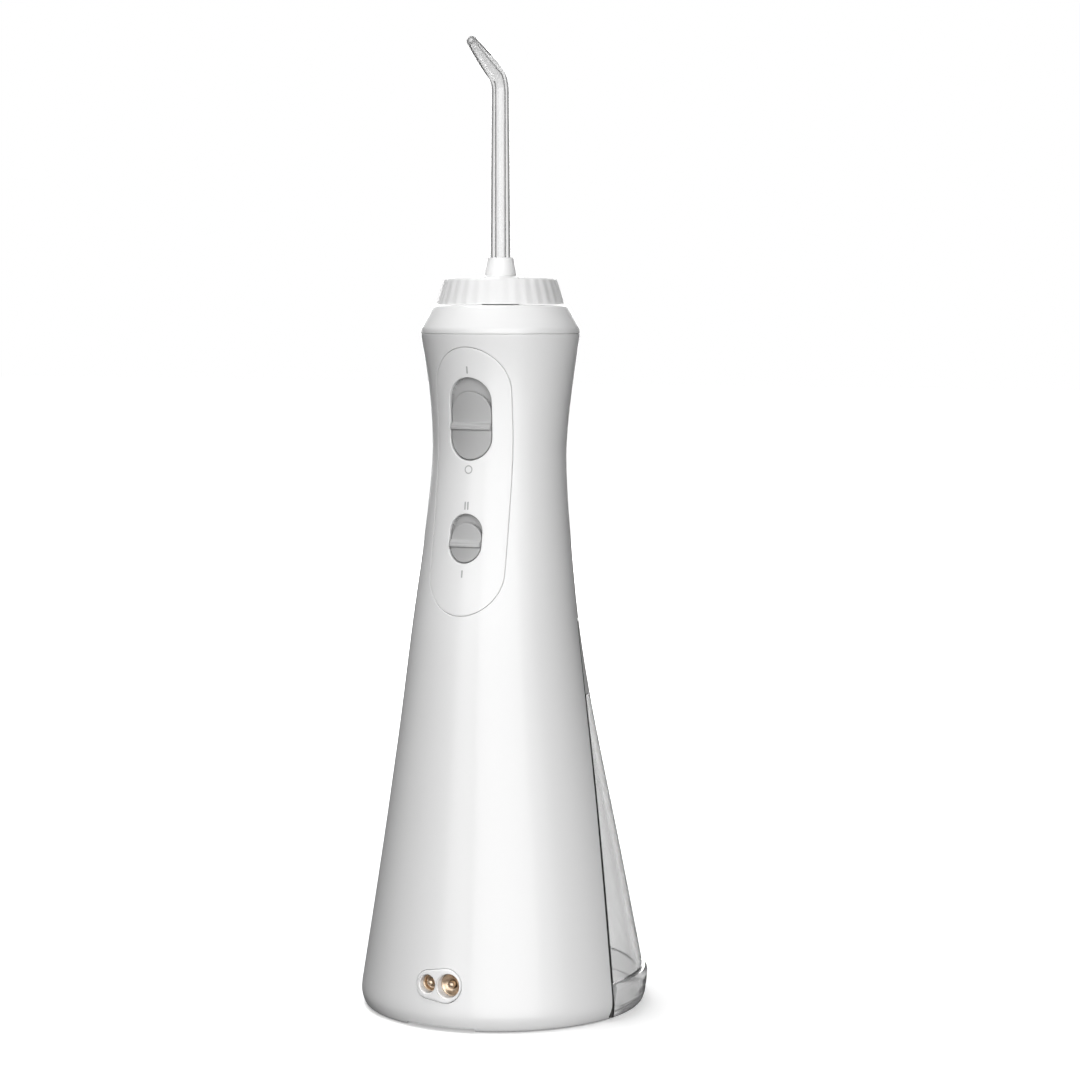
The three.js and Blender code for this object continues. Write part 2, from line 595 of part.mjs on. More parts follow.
const springFoot = NECK.y + BEARING.radius + 1.1;
const springLength = backAt(EJECT.z) - 2 - springFoot - 1.2;
const ejectSpring = coilSpring(3, 0.35, springLength, 4)
  .rotate([-90, 0, 0])
  .translate([0, springFoot, EJECT.z]);
add('eject', 'eject_spring', ejectSpring, 'steel');

// ---- Power: cells, board, motor, gears ----------------------------------------------------

const cell = turned([
  [0, 0], [CELL.radius, 0], [CELL.radius, CELL.length - 1.5], [CELL.radius - 1, CELL.length - 0.8],
  [2.6, CELL.length - 0.8], [2.6, CELL.length], [0, CELL.length],
], 20);
[['left', -CELL.x], ['right', CELL.x]].forEach(([side, x]) => {
  add('handle', `battery_${side}`, cell, 'cell').position.set(x, CELL.y, CELL.bottom);
});

const HOLDER = { halfWidth: 17, topHalfWidth: 15, bottom: 5.5, shelfTop: 58, top: 60, thick: 1.5 };
const cellFront = CELL.y - CELL.radius;
const holderBack = CELL.y + CELL.radius + GAP;
const holder = union(
  block([-HOLDER.halfWidth, holderBack, HOLDER.bottom],
    [HOLDER.halfWidth, holderBack + HOLDER.thick, HOLDER.top]),
  block([-HOLDER.halfWidth, cellFront, HOLDER.bottom],
    [HOLDER.halfWidth, holderBack + 0.5, CELL.bottom - GAP]),
  block([-HOLDER.topHalfWidth, cellFront + 1.6, CELL.bottom + CELL.length + GAP],
    [HOLDER.topHalfWidth, holderBack + 0.5, HOLDER.shelfTop]),
);
add('handle', 'battery_holder', holder, 'blackPlastic');

const motorAt = (piece) => piece.translate([0, MOTOR.y, 0]);
const motorCan = turned([
  [0, MOTOR.bottom], [MOTOR.boss, MOTOR.bottom], [MOTOR.boss, MOTOR.bottom + 1],
  [MOTOR.radius - 1, MOTOR.bottom + 1], [MOTOR.radius, MOTOR.bottom + 2], [MOTOR.radius, MOTOR.top - 1],
  [MOTOR.radius - 1, MOTOR.top], [MOTOR.boss, MOTOR.top], [MOTOR.boss, MOTOR.top + 1.6], [0, MOTOR.top + 1.6],
]);
add('handle', 'motor', motorAt(motorCan), 'steel');

const bracket = union(
  drum(MOTOR.radius - 0.5, MOTOR.top + GAP, MOTOR.top + 1.8),
  block([-18, -4, MOTOR.top + GAP], [18, 4, MOTOR.top + 1.8]),
).subtract(drum(3.6, MOTOR.top - 1, MOTOR.top + 3));
add('handle', 'motor_bracket', motorAt(bracket), 'blackPlastic');

// A disc with square teeth round its rim, drawn as one outline.
function toothedOutline(teeth, root, tip) {
  const points = Array.from({ length: teeth * 4 }, (_, i) => {
    const radius = i % 4 < 2 ? tip : root;
    const angle = (2 * Math.PI * (i + (i % 2 ? 0.15 : -0.15))) / (teeth * 4);
    return new THREE.Vector2(radius * Math.cos(angle), radius * Math.sin(angle));
  });
  return new THREE.Shape(points);
}

const PINION = { teeth: 8, root: 2.2, tip: 3, bottom: 92, top: 97.8 };
const pinionTeeth = solid(new THREE.ExtrudeGeometry(toothedOutline(PINION.teeth, PINION.root, PINION.tip),
  { depth: PINION.top - PINION.bottom, bevelEnabled: false })).translate([0, 0, PINION.bottom]);
const pinionShaft = drum(1, MOTOR.top + 1.9, PINION.bottom + 1, 12);
add('motor', 'motor_pinion', motorAt(pinionTeeth.add(pinionShaft)), 'steel');

// The face gear turns about a line along Y. Its teeth point forward to the pinion, its crank pin back.
function faceGear() {
  const disc = barY(GEAR.radius, 0, 0, GEAR.face + 1.2, GEAR.back, 36);
  const tooth = block([7.9, GEAR.face, -0.55], [GEAR.radius, GEAR.face + 1.5, 0.55]);
  const teeth = Array.from({ length: GEAR.teeth }, (_, i) => tooth.rotate([0, (360 * i) / GEAR.teeth, 0]));
  const crank = barY(1.3, 0, GEAR.crank, GEAR.back - 0.5, ROD.y + ROD.thick / 2 + 1.2);
  const hub = barY(3, 0, 0, GEAR.face - 1, GEAR.face + 2, 20);
  const bore = barY(GEAR.axle + GAP, 0, 0, GEAR.face - 2, GEAR.back - 0.8, 16);
  return union(disc, hub, crank, ...teeth).subtract(bore);
}

const gearMesh = add('gear', 'drive_gear', faceGear(), 'nylon');
gearMesh.position.z = GEAR.z;

const FRAME_PLATE = { halfWidth: 5.5, front: -27, back: -25.2, bottom: MOTOR.top + 2.1, foot: 1.2 };
const gearFrame = union(
  block([-FRAME_PLATE.halfWidth, FRAME_PLATE.front, FRAME_PLATE.bottom],
    [FRAME_PLATE.halfWidth, FRAME_PLATE.back, GEAR.z + 5]),
  block([-FRAME_PLATE.halfWidth, FRAME_PLATE.front, FRAME_PLATE.bottom],
    [FRAME_PLATE.halfWidth, FRAME_PLATE.back + 1.5, FRAME_PLATE.bottom + FRAME_PLATE.foot]),
).subtract(barY(GEAR.axle + GAP, 0, GEAR.z, -40, 0));
add('handle', 'gear_frame', gearFrame, 'blackPlastic');
add('handle', 'gear_axle', barY(GEAR.axle, 0, GEAR.z, FRAME_PLATE.front - 0.6, GEAR.back - 1.2), 'steel');

// ---- Pump ---------------------------------------------------------------------------------

const crankZ = GEAR.z + GEAR.crank;
const wristZ = crankZ + ROD.length;

function connectingRod() {
  const [low, high] = [ROD.y - ROD.thick / 2, ROD.y + ROD.thick / 2];
  const shank = block([-1.5, low, crankZ], [1.5, high, wristZ]);
  return union(barY(3.2, 0, crankZ, low, high, 20), barY(2.6, 0, wristZ, low, high, 20), shank)
    .subtract(barY(1.6, 0, crankZ, -30, 30)).subtract(barY(1.2, 0, wristZ, -30, 30));
}

add('rod', 'connecting_rod', connectingRod(), 'nylon');

const pumpAt = (piece) => piece.translate([0, ROD.y, 0]);
const CROWN = { radius: 4.4, bottom: 136.6, grooveBottom: 138.4, grooveTop: 140, top: 142, groove: 3.6 };
const CHEEK = { halfWidth: 2, inner: 2, outer: 3.6, reach: 4 };
const cheek = block([-CHEEK.halfWidth, CHEEK.inner, wristZ - CHEEK.reach],
  [CHEEK.halfWidth, CHEEK.outer, CROWN.bottom + 0.5]);
const cheeks = [cheek, cheek.mirror([0, 1, 0])];
const crown = turned([
  [0, CROWN.bottom], [CROWN.radius, CROWN.bottom], [CROWN.radius, CROWN.grooveBottom],
  [CROWN.groove, CROWN.grooveBottom], [CROWN.groove, CROWN.grooveTop], [CROWN.radius, CROWN.grooveTop],
  [CROWN.radius, CROWN.top], [0, CROWN.top],
]);
add('piston', 'piston', pumpAt(union(crown, ...cheeks)), 'nylon');
const sealZ = (CROWN.grooveBottom + CROWN.grooveTop) / 2;
add('piston', 'piston_seal', pumpAt(oRing(4.32, 0.42, sealZ)), 'rubber');

const VALVE_Z = 147.5;
const pumpBody = turned([
  [PUMP.bore, PUMP.bottom], [PUMP.radius, PUMP.bottom], [PUMP.radius, PUMP.top], [2.4, PUMP.top],
  [2.4, PUMP.top + 5], [1.3, PUMP.top + 5], [1.3, PUMP.top - 1], [3, PUMP.top - 1], [3, VALVE_Z],
  [PUMP.bore, VALVE_Z - 1], [PUMP.bore, PUMP.bottom],
]);
const barX = (radius, low, high, z) => drum(radius, low, high, 16).rotate([0, 90, 0]).translate([0, 0, z]);
const pump = pumpBody.add(barX(2.4, PUMP.bore + 0.5, 11, PUMP.portZ)).subtract(barX(1.3, 0, 12, PUMP.portZ));
add('handle', 'pump_housing', pumpAt(pump), 'nylon');

// A duckbill valve: a rubber cup whose bill narrows to a slit.
const duckbill = turned([[0, 0], [2.6, 0], [2.6, 0.8], [1.7, 0.8], [0.5, 2.8], [0, 2.8]], 20);
add('handle', 'outlet_valve', duckbill, 'rubber').position.set(0, ROD.y, VALVE_Z + 0.3);
add('handle', 'inlet_valve', barX(0.95, 0, 2.6, 0), 'rubber').position.set(6.8, ROD.y, PUMP.portZ);

function hose(points, radius, sides = 8, steps = 16) {
  const curve = new THREE.CatmullRomCurve3(points.map((p) => new THREE.Vector3(...p)));
  return sweep(curve, () => radius, sides, steps);
}

const outletHose = hose([
  [0, ROD.y, PUMP.top + 5.3], [0, ROD.y, PUMP.top + 9], [0, -7.5, 168], [0, NECK.y, 177],
  [0, NECK.y, BEARING.bottom - 4.3],
], 2.4);
add('handle', 'outlet_hose', outletHose, 'hose');

const inletHose = hose([
  [PORT.x, seamAt(PORT.z) - REAR_WALL - 1, PORT.z], [PORT.x, -8.3, PORT.z + 4], [PORT.x + 1.5, -8.3, 100],
  [15, -7.5, 118], [15.8, -9.5, 136], [14.4, ROD.y, PUMP.portZ - 0.6], [11.4, ROD.y, PUMP.portZ],
], 2.1, 8, 20);
add('handle', 'inlet_hose', inletHose, 'hose');

const portSeal = barY(PORT.hole - GAP, PORT.x, PORT.z, -20, 20, 24)
  .subtract(barY(PORT.tube + GAP, PORT.x, PORT.z, -30, 30, 24)).intersect(seamSlab(0, REAR_COVER.thick));
add('handle', 'port_seal', portSeal, 'rubber');

// ---- Circuit board and wires --------------------------------------------------------------

const board = block([-BOARD.halfWidth, BOARD.front, BOARD.bottom], [BOARD.halfWidth, BOARD.back, BOARD.top]);
add('handle', 'circuit_board', board, 'board');
const sensor = block([-3.5, BOARD.back + GAP, -3], [3.5, BOARD.back + 2.2, 3]);
add('handle', 'power_sensor', sensor, 'blackPlastic').position.z = POWER_SLOT.z - 1;
const pressureSensor = block([-3.5, BOARD.front - 2.4, -3], [3.5, BOARD.front - GAP, 3]);
add('handle', 'pressure_sensor', pressureSensor, 'blackPlastic').position.z = PRESSURE_SLOT.z - 1;

const WIRE = 0.6;
[['left', -1, 'redWire'], ['right', 1, 'blackPlastic']].forEach(([side, sign, finish]) => {
  const lead = hose([
    [6 * sign, -17.5, BOARD.bottom - GAP], [11.5 * sign, -22, 112], [12.4 * sign, -25, 95],
    [9.4 * sign, -25.8, 78], [9.4 * sign, -25.8, 68],
  ], WIRE, 5, 10);
  add('handle', `motor_lead_${side}`, lead, finish);
});

[['left', CONTACTS.left, -1], ['right', CONTACTS.right, 1]].forEach(([side, x, sign]) => {
  const start = frontAt(CONTACTS.z) + 9.9;
  const lead = hose([
    [x, start, CONTACTS.z], [x, start + 0.8, CONTACTS.z + 3], [7 * sign, -32.4, 32], [8 * sign, -32.2, 52],
  ], WIRE, 5, 8);
  add('handle', `charge_lead_${side}`, lead, side === 'left' ? 'blackPlastic' : 'redWire');
});

// ---- Reservoir ----------------------------------------------------------------------------

const behindTankFace = behindSeam(GAP, 200);
const tankHollow = (bottom, top) => form(levels(bottom, top, TANK.wall, 22), 32)
  .intersect(behindSeam(GAP + TANK.wall, 200));
const portHole = barY(PORT.tube + 2 * GAP, PORT.x, PORT.z, -20, 12, 16);

const shellBottom = TANK.baseTop + GAP;
const tankShell = form(levels(shellBottom, TANK.shellTop, 0, 21)).intersect(behindTankFace)
  .subtract(tankHollow(shellBottom - 2, TANK.shellTop + 2)).subtract(portHole);
add('tank', 'tank_shell', tankShell, 'clear');

// The base is a shallow cup with a rounded lip that stands proud of the shell all round the back.
function tankBase() {
  const lip = form([
    ...roundUnder(BOTTOM, BASE_ROUND, 0).slice(0, -1), { z: TANK.lipBottom - 1.6, inset: -0.3 },
    { z: TANK.lipBottom, inset: -TANK.lip },
    { z: TANK.lipBottom + 1.2, inset: -TANK.lip }, { z: TANK.baseTop, inset: -0.3 },
  ]);
  const base = lip.intersect(behindTankFace).subtract(tankHollow(TANK.floor, TANK.baseTop + 2));
  const feet = [-TANK_FOOT.x, TANK_FOOT.x].map((x) => (
    pad(tankFootOutline(x, 2 * GAP), TABLE - 1, TABLE + FOOT.pocket)));
  return base.subtract(union(...feet));
}

add('tank', 'tank_base', tankBase(), 'clear');
[['left', -TANK_FOOT.x], ['right', TANK_FOOT.x]].forEach(([side, x]) => {
  add('tank', `tank_foot_${side}`, pad(tankFootOutline(x, 0), TABLE, TABLE + FOOT.thick), 'rubber');
});

const HINGE = { y: backAt(DOOR.top) - 1.1, z: DOOR.top };
const doorOutline = (grow) => {
  const height = DOOR.top - DOOR.bottom;
  return roundedBox(DOOR.width + grow, height + grow, 2.5, 0, DOOR.bottom + height / 2);
};

const onHinge = (piece) => piece.translate([0, HINGE.y, HINGE.z]);
const knuckle = (low, high, radius) => barX(radius, low, high, 0);
const hingeHole = onHinge(knuckle(-17, 17, DOOR.pinRadius + GAP));

function tankCap() {
  const cap = form(levels(TANK.capBottom, TANK.capTop, 0, 6)).intersect(behindTankFace)
    .subtract(tankHollow(TANK.capBottom - 2, TANK.capTop - TANK.wall));
  const around = roundedBox(DOOR.width + 2 * GAP, DOOR.top + 1.6 - DOOR.bottom, 2.5, 0,
    (DOOR.bottom + DOOR.top + 1.6) / 2 - GAP);
  const arms = [-1, 1].map((side) => {
    const ends = [side * 13.6, side * 15.4].sort((a, b) => a - b);
    return onHinge(knuckle(...ends, 1.7)).intersect(form(levels(105, 114.5, 0.2, 3)));
  });
  return union(cap.subtract(alongY(around, 5, 60)), ...arms).subtract(hingeHole);
}

add('tank', 'tank_cap', tankCap(), 'white');

const SIPHON = { y: seamAt(10) + GAP + TANK.wall + 4.5, bottom: 2.9, bore: 1.2 };

function siphonTube() {
  const line = new THREE.CatmullRomCurve3([
    [PORT.x, SIPHON.y, SIPHON.bottom], [PORT.x, seamAt(40) + 6.6, 40], [PORT.x, seamAt(70) + 6.6, 70],
    [PORT.x, seamAt(80) + 5.6, 81.5], [PORT.x, seamAt(PORT.z) + 2.2, PORT.z],
    [PORT.x, seamAt(PORT.z) - 1.2, PORT.z],
  ].map((p) => new THREE.Vector3(...p)));
  const inlet = drum(SIPHON.bore, SIPHON.bottom - 3.5, SIPHON.bottom + 1.5, 6).translate([PORT.x, SIPHON.y, 0]);
  const outlet = barY(SIPHON.bore, PORT.x, PORT.z, -8, -1, 6);
  const bore = union(sweep(line, () => SIPHON.bore, 6, 16), inlet, outlet);
  return sweep(line, () => PORT.tube, 10, 16).subtract(bore);
}

add('tank', 'siphon_tube', siphonTube(), 'hose');
const filter = turned([
  [PORT.tube + GAP, 0.6], [3.8, 0.6], [3.8, 4.8], [PORT.tube + GAP, 6], [PORT.tube + GAP, 0.6],
], 20);
add('tank', 'siphon_filter', filter.translate([PORT.x, SIPHON.y, 0]), 'rubber');

function fillDoor() {
  const leaf = patch(doorOutline(0), 0, DOOR.thick, DOOR.bottom - 2, DOOR.top - 0.2, true);
  const barrel = onHinge(knuckle(-11, 11, DOOR.hingeRadius));
  const lipOutline = roundedBox(9, 2, 0.8, 0, DOOR.bottom + 2);
  const catchLip = patch(lipOutline, -0.9, 0.5, DOOR.bottom, DOOR.bottom + 5, true);
  return union(leaf, barrel, catchLip).subtract(hingeHole);
}

add('door', 'fill_door', fillDoor(), 'white');
const seal = patch(roundedBox(21, 9.5, 2, 0, 102.6), DOOR.thick + GAP, DOOR.thick + 1.6, 96, 109, true);
add('door', 'door_seal', seal, 'rubber');
add('tank', 'door_hinge_pin', onHinge(knuckle(-15.2, 15.2, DOOR.pinRadius)), 'steel');

export default flosser;
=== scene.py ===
import json
import math

import bmesh
import bpy
import numpy as np
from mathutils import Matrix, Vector
from mathutils.geometry import delaunay_2d_cdt

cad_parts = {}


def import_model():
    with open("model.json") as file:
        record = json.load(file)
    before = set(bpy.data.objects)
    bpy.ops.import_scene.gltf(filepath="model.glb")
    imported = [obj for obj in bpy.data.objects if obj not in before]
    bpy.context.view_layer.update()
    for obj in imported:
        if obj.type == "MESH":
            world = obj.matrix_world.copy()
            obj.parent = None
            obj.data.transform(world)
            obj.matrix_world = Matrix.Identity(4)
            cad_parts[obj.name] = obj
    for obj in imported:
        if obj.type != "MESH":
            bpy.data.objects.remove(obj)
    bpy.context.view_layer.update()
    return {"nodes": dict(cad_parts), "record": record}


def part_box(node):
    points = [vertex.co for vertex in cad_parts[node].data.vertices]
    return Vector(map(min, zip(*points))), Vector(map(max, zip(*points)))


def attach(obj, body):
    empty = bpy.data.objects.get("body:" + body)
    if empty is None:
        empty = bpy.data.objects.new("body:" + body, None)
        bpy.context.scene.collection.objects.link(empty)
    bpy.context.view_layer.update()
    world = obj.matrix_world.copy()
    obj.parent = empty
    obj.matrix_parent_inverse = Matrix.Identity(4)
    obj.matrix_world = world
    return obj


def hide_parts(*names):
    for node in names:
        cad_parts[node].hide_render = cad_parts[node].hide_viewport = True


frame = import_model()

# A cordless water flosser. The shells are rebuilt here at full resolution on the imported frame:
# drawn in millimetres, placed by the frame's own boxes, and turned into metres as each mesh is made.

MM = 0.001
DATUM = Vector((0, 0, 4.0))  # heights are drawn from a plane this far above the table


def box(node):
    """A CAD node's lowest and highest corners, in millimetres from the datum."""
    low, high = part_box(node)
    return low / MM - DATUM, high / MM - DATUM


# ---- Sizes ---------------------------------------------------------------------------------

CASING_LOW, CASING_HIGH = box("main_casing")
BOTTOM = CASING_LOW.z
CASING_TOP = {"radius": 24.4, "z": CASING_HIGH.z}
CONE_TOP = {"radius": 31.0, "z": 76.0}
NECK = {"radius": 20.4, "z": 166.0, "y": sum(c.y for c in box("rotation_knob")) / 2}
BASE = {"radius": 43.9, "inset": 2.2, "round": 7.5, "depth_gain": 0.04, "round_above": 100.0}
NOTCH = {"half_width": 11.5, "back": -38.0, "height": 0.9}
INSIDE_ROUND = 3.5
WALL = 2.4
GAP = 0.3
SEAM = {"y": -11.6, "lean": 0.112, "top": 115.5, "wall": 3.2}
PANEL = {"width": 24.8, "height": 79.8, "z": 158.1, "thick": 1.2}
POWER = {"width": 14.0, "height": 24.9, "z": 176.6, "travel": 4.0}
PRESSURE = {"width": 10.9, "height": 14.8, "z": 141.0, "travel": 2.5}
CONTACT_Z = sum(c.z for c in box("contact_pin_right")) / 2
CONTACTS = [(-3.6, 2.7, "left"), (3.3, 3.5, "right")]


# ---- The outer form ------------------------------------------------------------------------


def bezier(start, first, second, end, steps=200):
    t = np.linspace(0, 1, steps)[:, None]
    start, first, second, end = (np.array(p, float) for p in (start, first, second, end))
    return start * (1 - t) ** 3 + 3 * first * t * (1 - t) ** 2 + 3 * second * t**2 * (1 - t) + end * t**3


def side_line():
    """The silhouette as [radius, height]: a straight cone, then the belly, the neck and the flare."""
    slope = (BASE["radius"] - CONE_TOP["radius"]) / CONE_TOP["z"]
    cone = (CONE_TOP["radius"], CONE_TOP["z"])
    neck = (NECK["radius"], NECK["z"])
    top = (CASING_TOP["radius"], CASING_TOP["z"])
    belly = bezier(cone, (cone[0] - 30 * slope, cone[1] + 30), (neck[0], neck[1] - 14), neck)
    flare = bezier(neck, (neck[0], neck[1] + 12), (top[0] - 1.8, top[1] - 10), top)
    return np.vstack([[(BASE["radius"], 0)], belly, flare[1:]])


def spline(points, steps=40):
    """A Catmull-Rom curve through the points, its ends held."""
    points = np.array(points, float)
    held = np.vstack([points[:1], points, points[-1:]])
    t = np.linspace(0, 1, steps, endpoint=False)[:, None]
    spans = []
    for a, b, c, d in zip(held, held[1:], held[2:], held[3:]):
        squared = 2 * a - 5 * b + 4 * c - d
        cubed = 3 * b - a - 3 * c + d
        spans.append(0.5 * (2 * b + (c - a) * t + squared * t**2 + cubed * t**3))
    return np.vstack([*spans, points[-1:]])


SIDE = side_line()
MIDDLE = spline([
    (-0.24, 0), (-2.1, 45), (-5.6, 105), (-4.4, 140), (NECK["y"], 182), (NECK["y"], CASING_TOP["z"]),
])


def across(z):
    return np.interp(z, SIDE[:, 1], SIDE[:, 0])


def middle(z):
    return np.interp(z, MIDDLE[:, 1], MIDDLE[:, 0])


def deep(z):
    return across(z) * (1 + BASE["depth_gain"] * np.maximum(0, 1 - z / BASE["round_above"]))


def on_front(x, z, depth):
    """The point of the front surface over (x, z), moved in by depth along +Y."""
    x, z = np.broadcast_arrays(np.asarray(x, float), np.asarray(z, float))
    y = middle(z) - deep(z) * np.sqrt(np.maximum(0, 1 - (x / across(z)) ** 2)) + depth
    return np.stack([x, y, z], axis=-1)


def on_back(x, z, depth):
    x, z = np.broadcast_arrays(np.asarray(x, float), np.asarray(z, float))
    y = middle(z) + deep(z) * np.sqrt(np.maximum(0, 1 - (x / across(z)) ** 2)) - depth
    return np.stack([x, y, z], axis=-1)


def seam_y(z):
    return SEAM["y"] + SEAM["lean"] * z


def on_seam(x, z, depth):
    """The point of the plane between casing and reservoir, moved forward into the casing by depth."""
    x, z = np.broadcast_arrays(np.asarray(x, float), np.asarray(z, float))
    return np.stack([x, seam_y(z) - depth, z], axis=-1)


# ---- Solids --------------------------------------------------------------------------------


def solid(points, faces):
    """A closed mesh from points in millimetres, its faces turned out."""
    mesh = bpy.data.meshes.new("solid")
    placed = (np.asarray(points, float) + np.array(DATUM)) * MM
    mesh.from_pydata([tuple(p) for p in placed], [], [tuple(f) for f in faces])
    bm = bmesh.new()
    bm.from_mesh(mesh)
    bmesh.ops.recalc_face_normals(bm, faces=bm.faces)
    bm.to_mesh(mesh)
    bm.free()
    piece = bpy.data.objects.new("solid", mesh)
    bpy.context.scene.collection.objects.link(piece)
    return piece


def loft(rings):
    """Rings of equal count joined in order and closed at both ends."""
    rings = np.asarray(rings, float)
    count, sides = rings.shape[:2]
    points = np.vstack([rings.reshape(-1, 3), rings[0].mean(0), rings[-1].mean(0)])
    faces = []
    for r in range(count - 1):
        for i in range(sides):
            j = (i + 1) % sides
            faces.append((r * sides + i, r * sides + j, (r + 1) * sides + j, (r + 1) * sides + i))
    first, last = count * sides, (count - 1) * sides
    for i in range(sides):
        j = (i + 1) % sides
        faces.append((first, j, i))
        faces.append((first + 1, last + i, last + j))
    return solid(points, faces)


def looped(rings):
    """Rings joined in order, the last one to the first: a closed tube wall."""
    rings = np.asarray(rings, float)
    count, sides = rings.shape[:2]
    faces = []
    for r in range(count):
        s = (r + 1) % count
        for i in range(sides):
            j = (i + 1) % sides
            faces.append((r * sides + i, r * sides + j, s * sides + j, s * sides + i))
    return solid(rings.reshape(-1, 3), faces)


def circle(sides):
    angles = np.linspace(0, 2 * math.pi, sides, endpoint=False)
    return np.cos(angles), np.sin(angles)


def soften(profile, rounds, steps=5):
    """A closed profile of [radius, height] points, its corners rounded alike or each by its own size."""
    profile = np.array(profile, float)
    count = len(profile)
    rounded = []
    for i, (corner, round_by) in enumerate(zip(profile, np.broadcast_to(rounds, count))):
        before, after = profile[i - 1] - corner, profile[(i + 1) % count] - corner
        reach = min(round_by, 0.45 * np.linalg.norm(before), 0.45 * np.linalg.norm(after))
        start = corner + before / np.linalg.norm(before) * reach
        end = corner + after / np.linalg.norm(after) * reach
        for t in np.linspace(0, 1, steps):
            rounded.append(start * (1 - t) ** 2 + 2 * corner * t * (1 - t) + end * t**2)
    return rounded


def ring_z(radius, z, sides, at):
    """A level ring about a line along Z through `at`."""
    cos, sin = circle(sides)
    return np.stack([at[0] + radius * cos, at[1] + radius * sin, np.full(sides, z)], axis=-1)


def ring_y(radius, x, y, z, sides):
    """An upright ring that faces along Y."""
    cos, sin = circle(sides)
    return np.stack([x + radius * cos, np.full(sides, y), z + radius * sin], axis=-1)


def turned(profile, sides, at):
    """A closed profile turned about a line along Z through `at`."""
    return looped([ring_z(r, z, sides, at) for r, z in profile])


def form(stations, sides=240):
    """The outer form through [height, inset] stations."""
    cos, sin = circle(sides)

    def ring(z, inset):
        x, y = (across(z) - inset) * cos, middle(z) + (deep(z) - inset) * sin
        return np.stack([x, y, np.full(sides, z)], axis=-1)

    return loft([ring(z, inset) for z, inset in stations])


def levels(bottom, top, inset, step=1.0):
    count = max(1, round((top - bottom) / step))
    return [(z, inset) for z in np.linspace(bottom, top, count + 1)]


def round_under(bottom, height, inward, inset, steps=12):
    """Stations that round the lower edge by a quarter ellipse."""
    angles = np.linspace(0, math.pi / 2, steps, endpoint=False)
    return [(bottom + height * (1 - math.cos(a)), inset + inward * (1 - math.sin(a))) for a in angles]


def round_over(top, radius, inset, steps=6):
    angles = np.linspace(0, math.pi / 2, steps)
    return [(top - radius * (1 - math.sin(a)), inset + radius * (1 - math.cos(a))) for a in angles]


def slab(points, half):
    """A polygon of [y, z] points made solid from x = -half to x = +half."""
    ring = np.array([(0, y, z) for y, z in points], float)
    return loft([ring - (half, 0, 0), ring + (half, 0, 0)])


def behind_seam(shift, top=SEAM["top"]):
    low = -10.0
    return slab([(seam_y(low) + shift, low), (90, low), (90, top), (seam_y(top) + shift, top)], 70)


def combine(operation, piece, *tools):
    """Cuts, joins or intersects the piece with each tool in turn, and removes the tools."""
    for tool in tools:
        step = piece.modifiers.new(operation, "BOOLEAN")
        step.operation = operation
        step.object = tool
        step.solver = "MANIFOLD"
    graph = bpy.context.evaluated_depsgraph_get()
    mesh = bpy.data.meshes.new_from_object(piece.evaluated_get(graph))
    piece.modifiers.clear()
    piece.data = mesh
    for tool in tools:
        bpy.data.objects.remove(tool)
    return piece


def cut(piece, *tools):
    return combine("DIFFERENCE", piece, *tools)


def join(piece, *tools):
    return combine("UNION", piece, *tools)


def keep(piece, *tools):
    return combine("INTERSECT", piece, *tools)


# ---- Outlines and reliefs ------------------------------------------------------------------


class Outline:
    """A closed line made of arcs and tangents, which can be drawn larger or smaller by any amount."""

    def __init__(self, centres, radii, angles):
        self.centres = np.array(centres, float)
        self.radii = np.array(radii, float)
        self.turns = np.stack([np.cos(angles), np.sin(angles)], axis=-1)

    def ring(self, grow=0.0):
        return self.centres + (self.radii + grow)[:, None] * self.turns


def rounded_box(width, height, corner, x, z, spacing=0.5):
    dx, dz = width / 2 - corner, height / 2 - corner
    arc = max(6, math.ceil(corner * math.pi / 2 / spacing))
    centres, angles = [], []
    corners = [(dx, dz), (-dx, dz), (-dx, -dz), (dx, -dz)]
    for k, (cx, cz) in enumerate(corners):
        nx, nz = corners[(k + 1) % 4]
        side = math.hypot(nx - cx, nz - cz)
        for step in range(arc + 1):
            centres.append((x + cx, z + cz))
            angles.append(math.pi / 2 * (k + step / arc))
        between = math.ceil(side / spacing)
        for step in range(1, between):
            share = step / between
            centres.append((x + cx + (nx - cx) * share, z + cz + (nz - cz) * share))
            angles.append(math.pi / 2 * (k + 1))
        if side < 1e-6:
            centres.pop()
            angles.pop()
    return Outline(centres, [corner] * len(centres), angles)


def capsule(width, height, x, z, spacing=0.5):
    return rounded_box(width, height, min(width, height) / 2, x, z, spacing)


def disc(radius, x, z, sides=48):
    angles = np.linspace(0, 2 * math.pi, sides, endpoint=False)
    return Outline([(x, z)] * sides, [radius] * sides, angles)


def egg(z, spacing=0.4):
    """Two circles of different size and the two lines that touch both."""
    left, right = (-3.3, 4.1), (2.5, 5.0)
    tilt = math.acos((left[1] - right[1]) / (right[0] - left[0]))
    centres, radii, angles = [], [], []
    for (x, radius), start, end in ((right, -tilt, tilt), (left, tilt, 2 * math.pi - tilt)):
        steps = math.ceil(radius * (end - start) / spacing)
        for angle in np.linspace(start, end, steps + 1):
            centres.append((x, z))
            radii.append(radius)
            angles.append(angle)
    return Outline(centres, radii, angles)


def inside(points, loop):
    """Whether each [x, z] point lies inside a closed line."""
    x, z = points[:, 0][:, None], points[:, 1][:, None]
    x0, z0 = loop[:, 0], loop[:, 1]
    x1, z1 = np.roll(x0, -1), np.roll(z0, -1)
    spans = (z0 > z) != (z1 > z)
    with np.errstate(divide="ignore", invalid="ignore"):
        crossing = x0 + (z - z0) * (x1 - x0) / (z1 - z0)
    return ((spans & (x < crossing)).sum(1) % 2) == 1


def plug(outline, profile, place):
    """A cutter or peg: the outline drawn at each [grow, depth] of a profile, on the given surface."""
    return loft([place(*outline.ring(grow).T, depth) for grow, depth in profile])


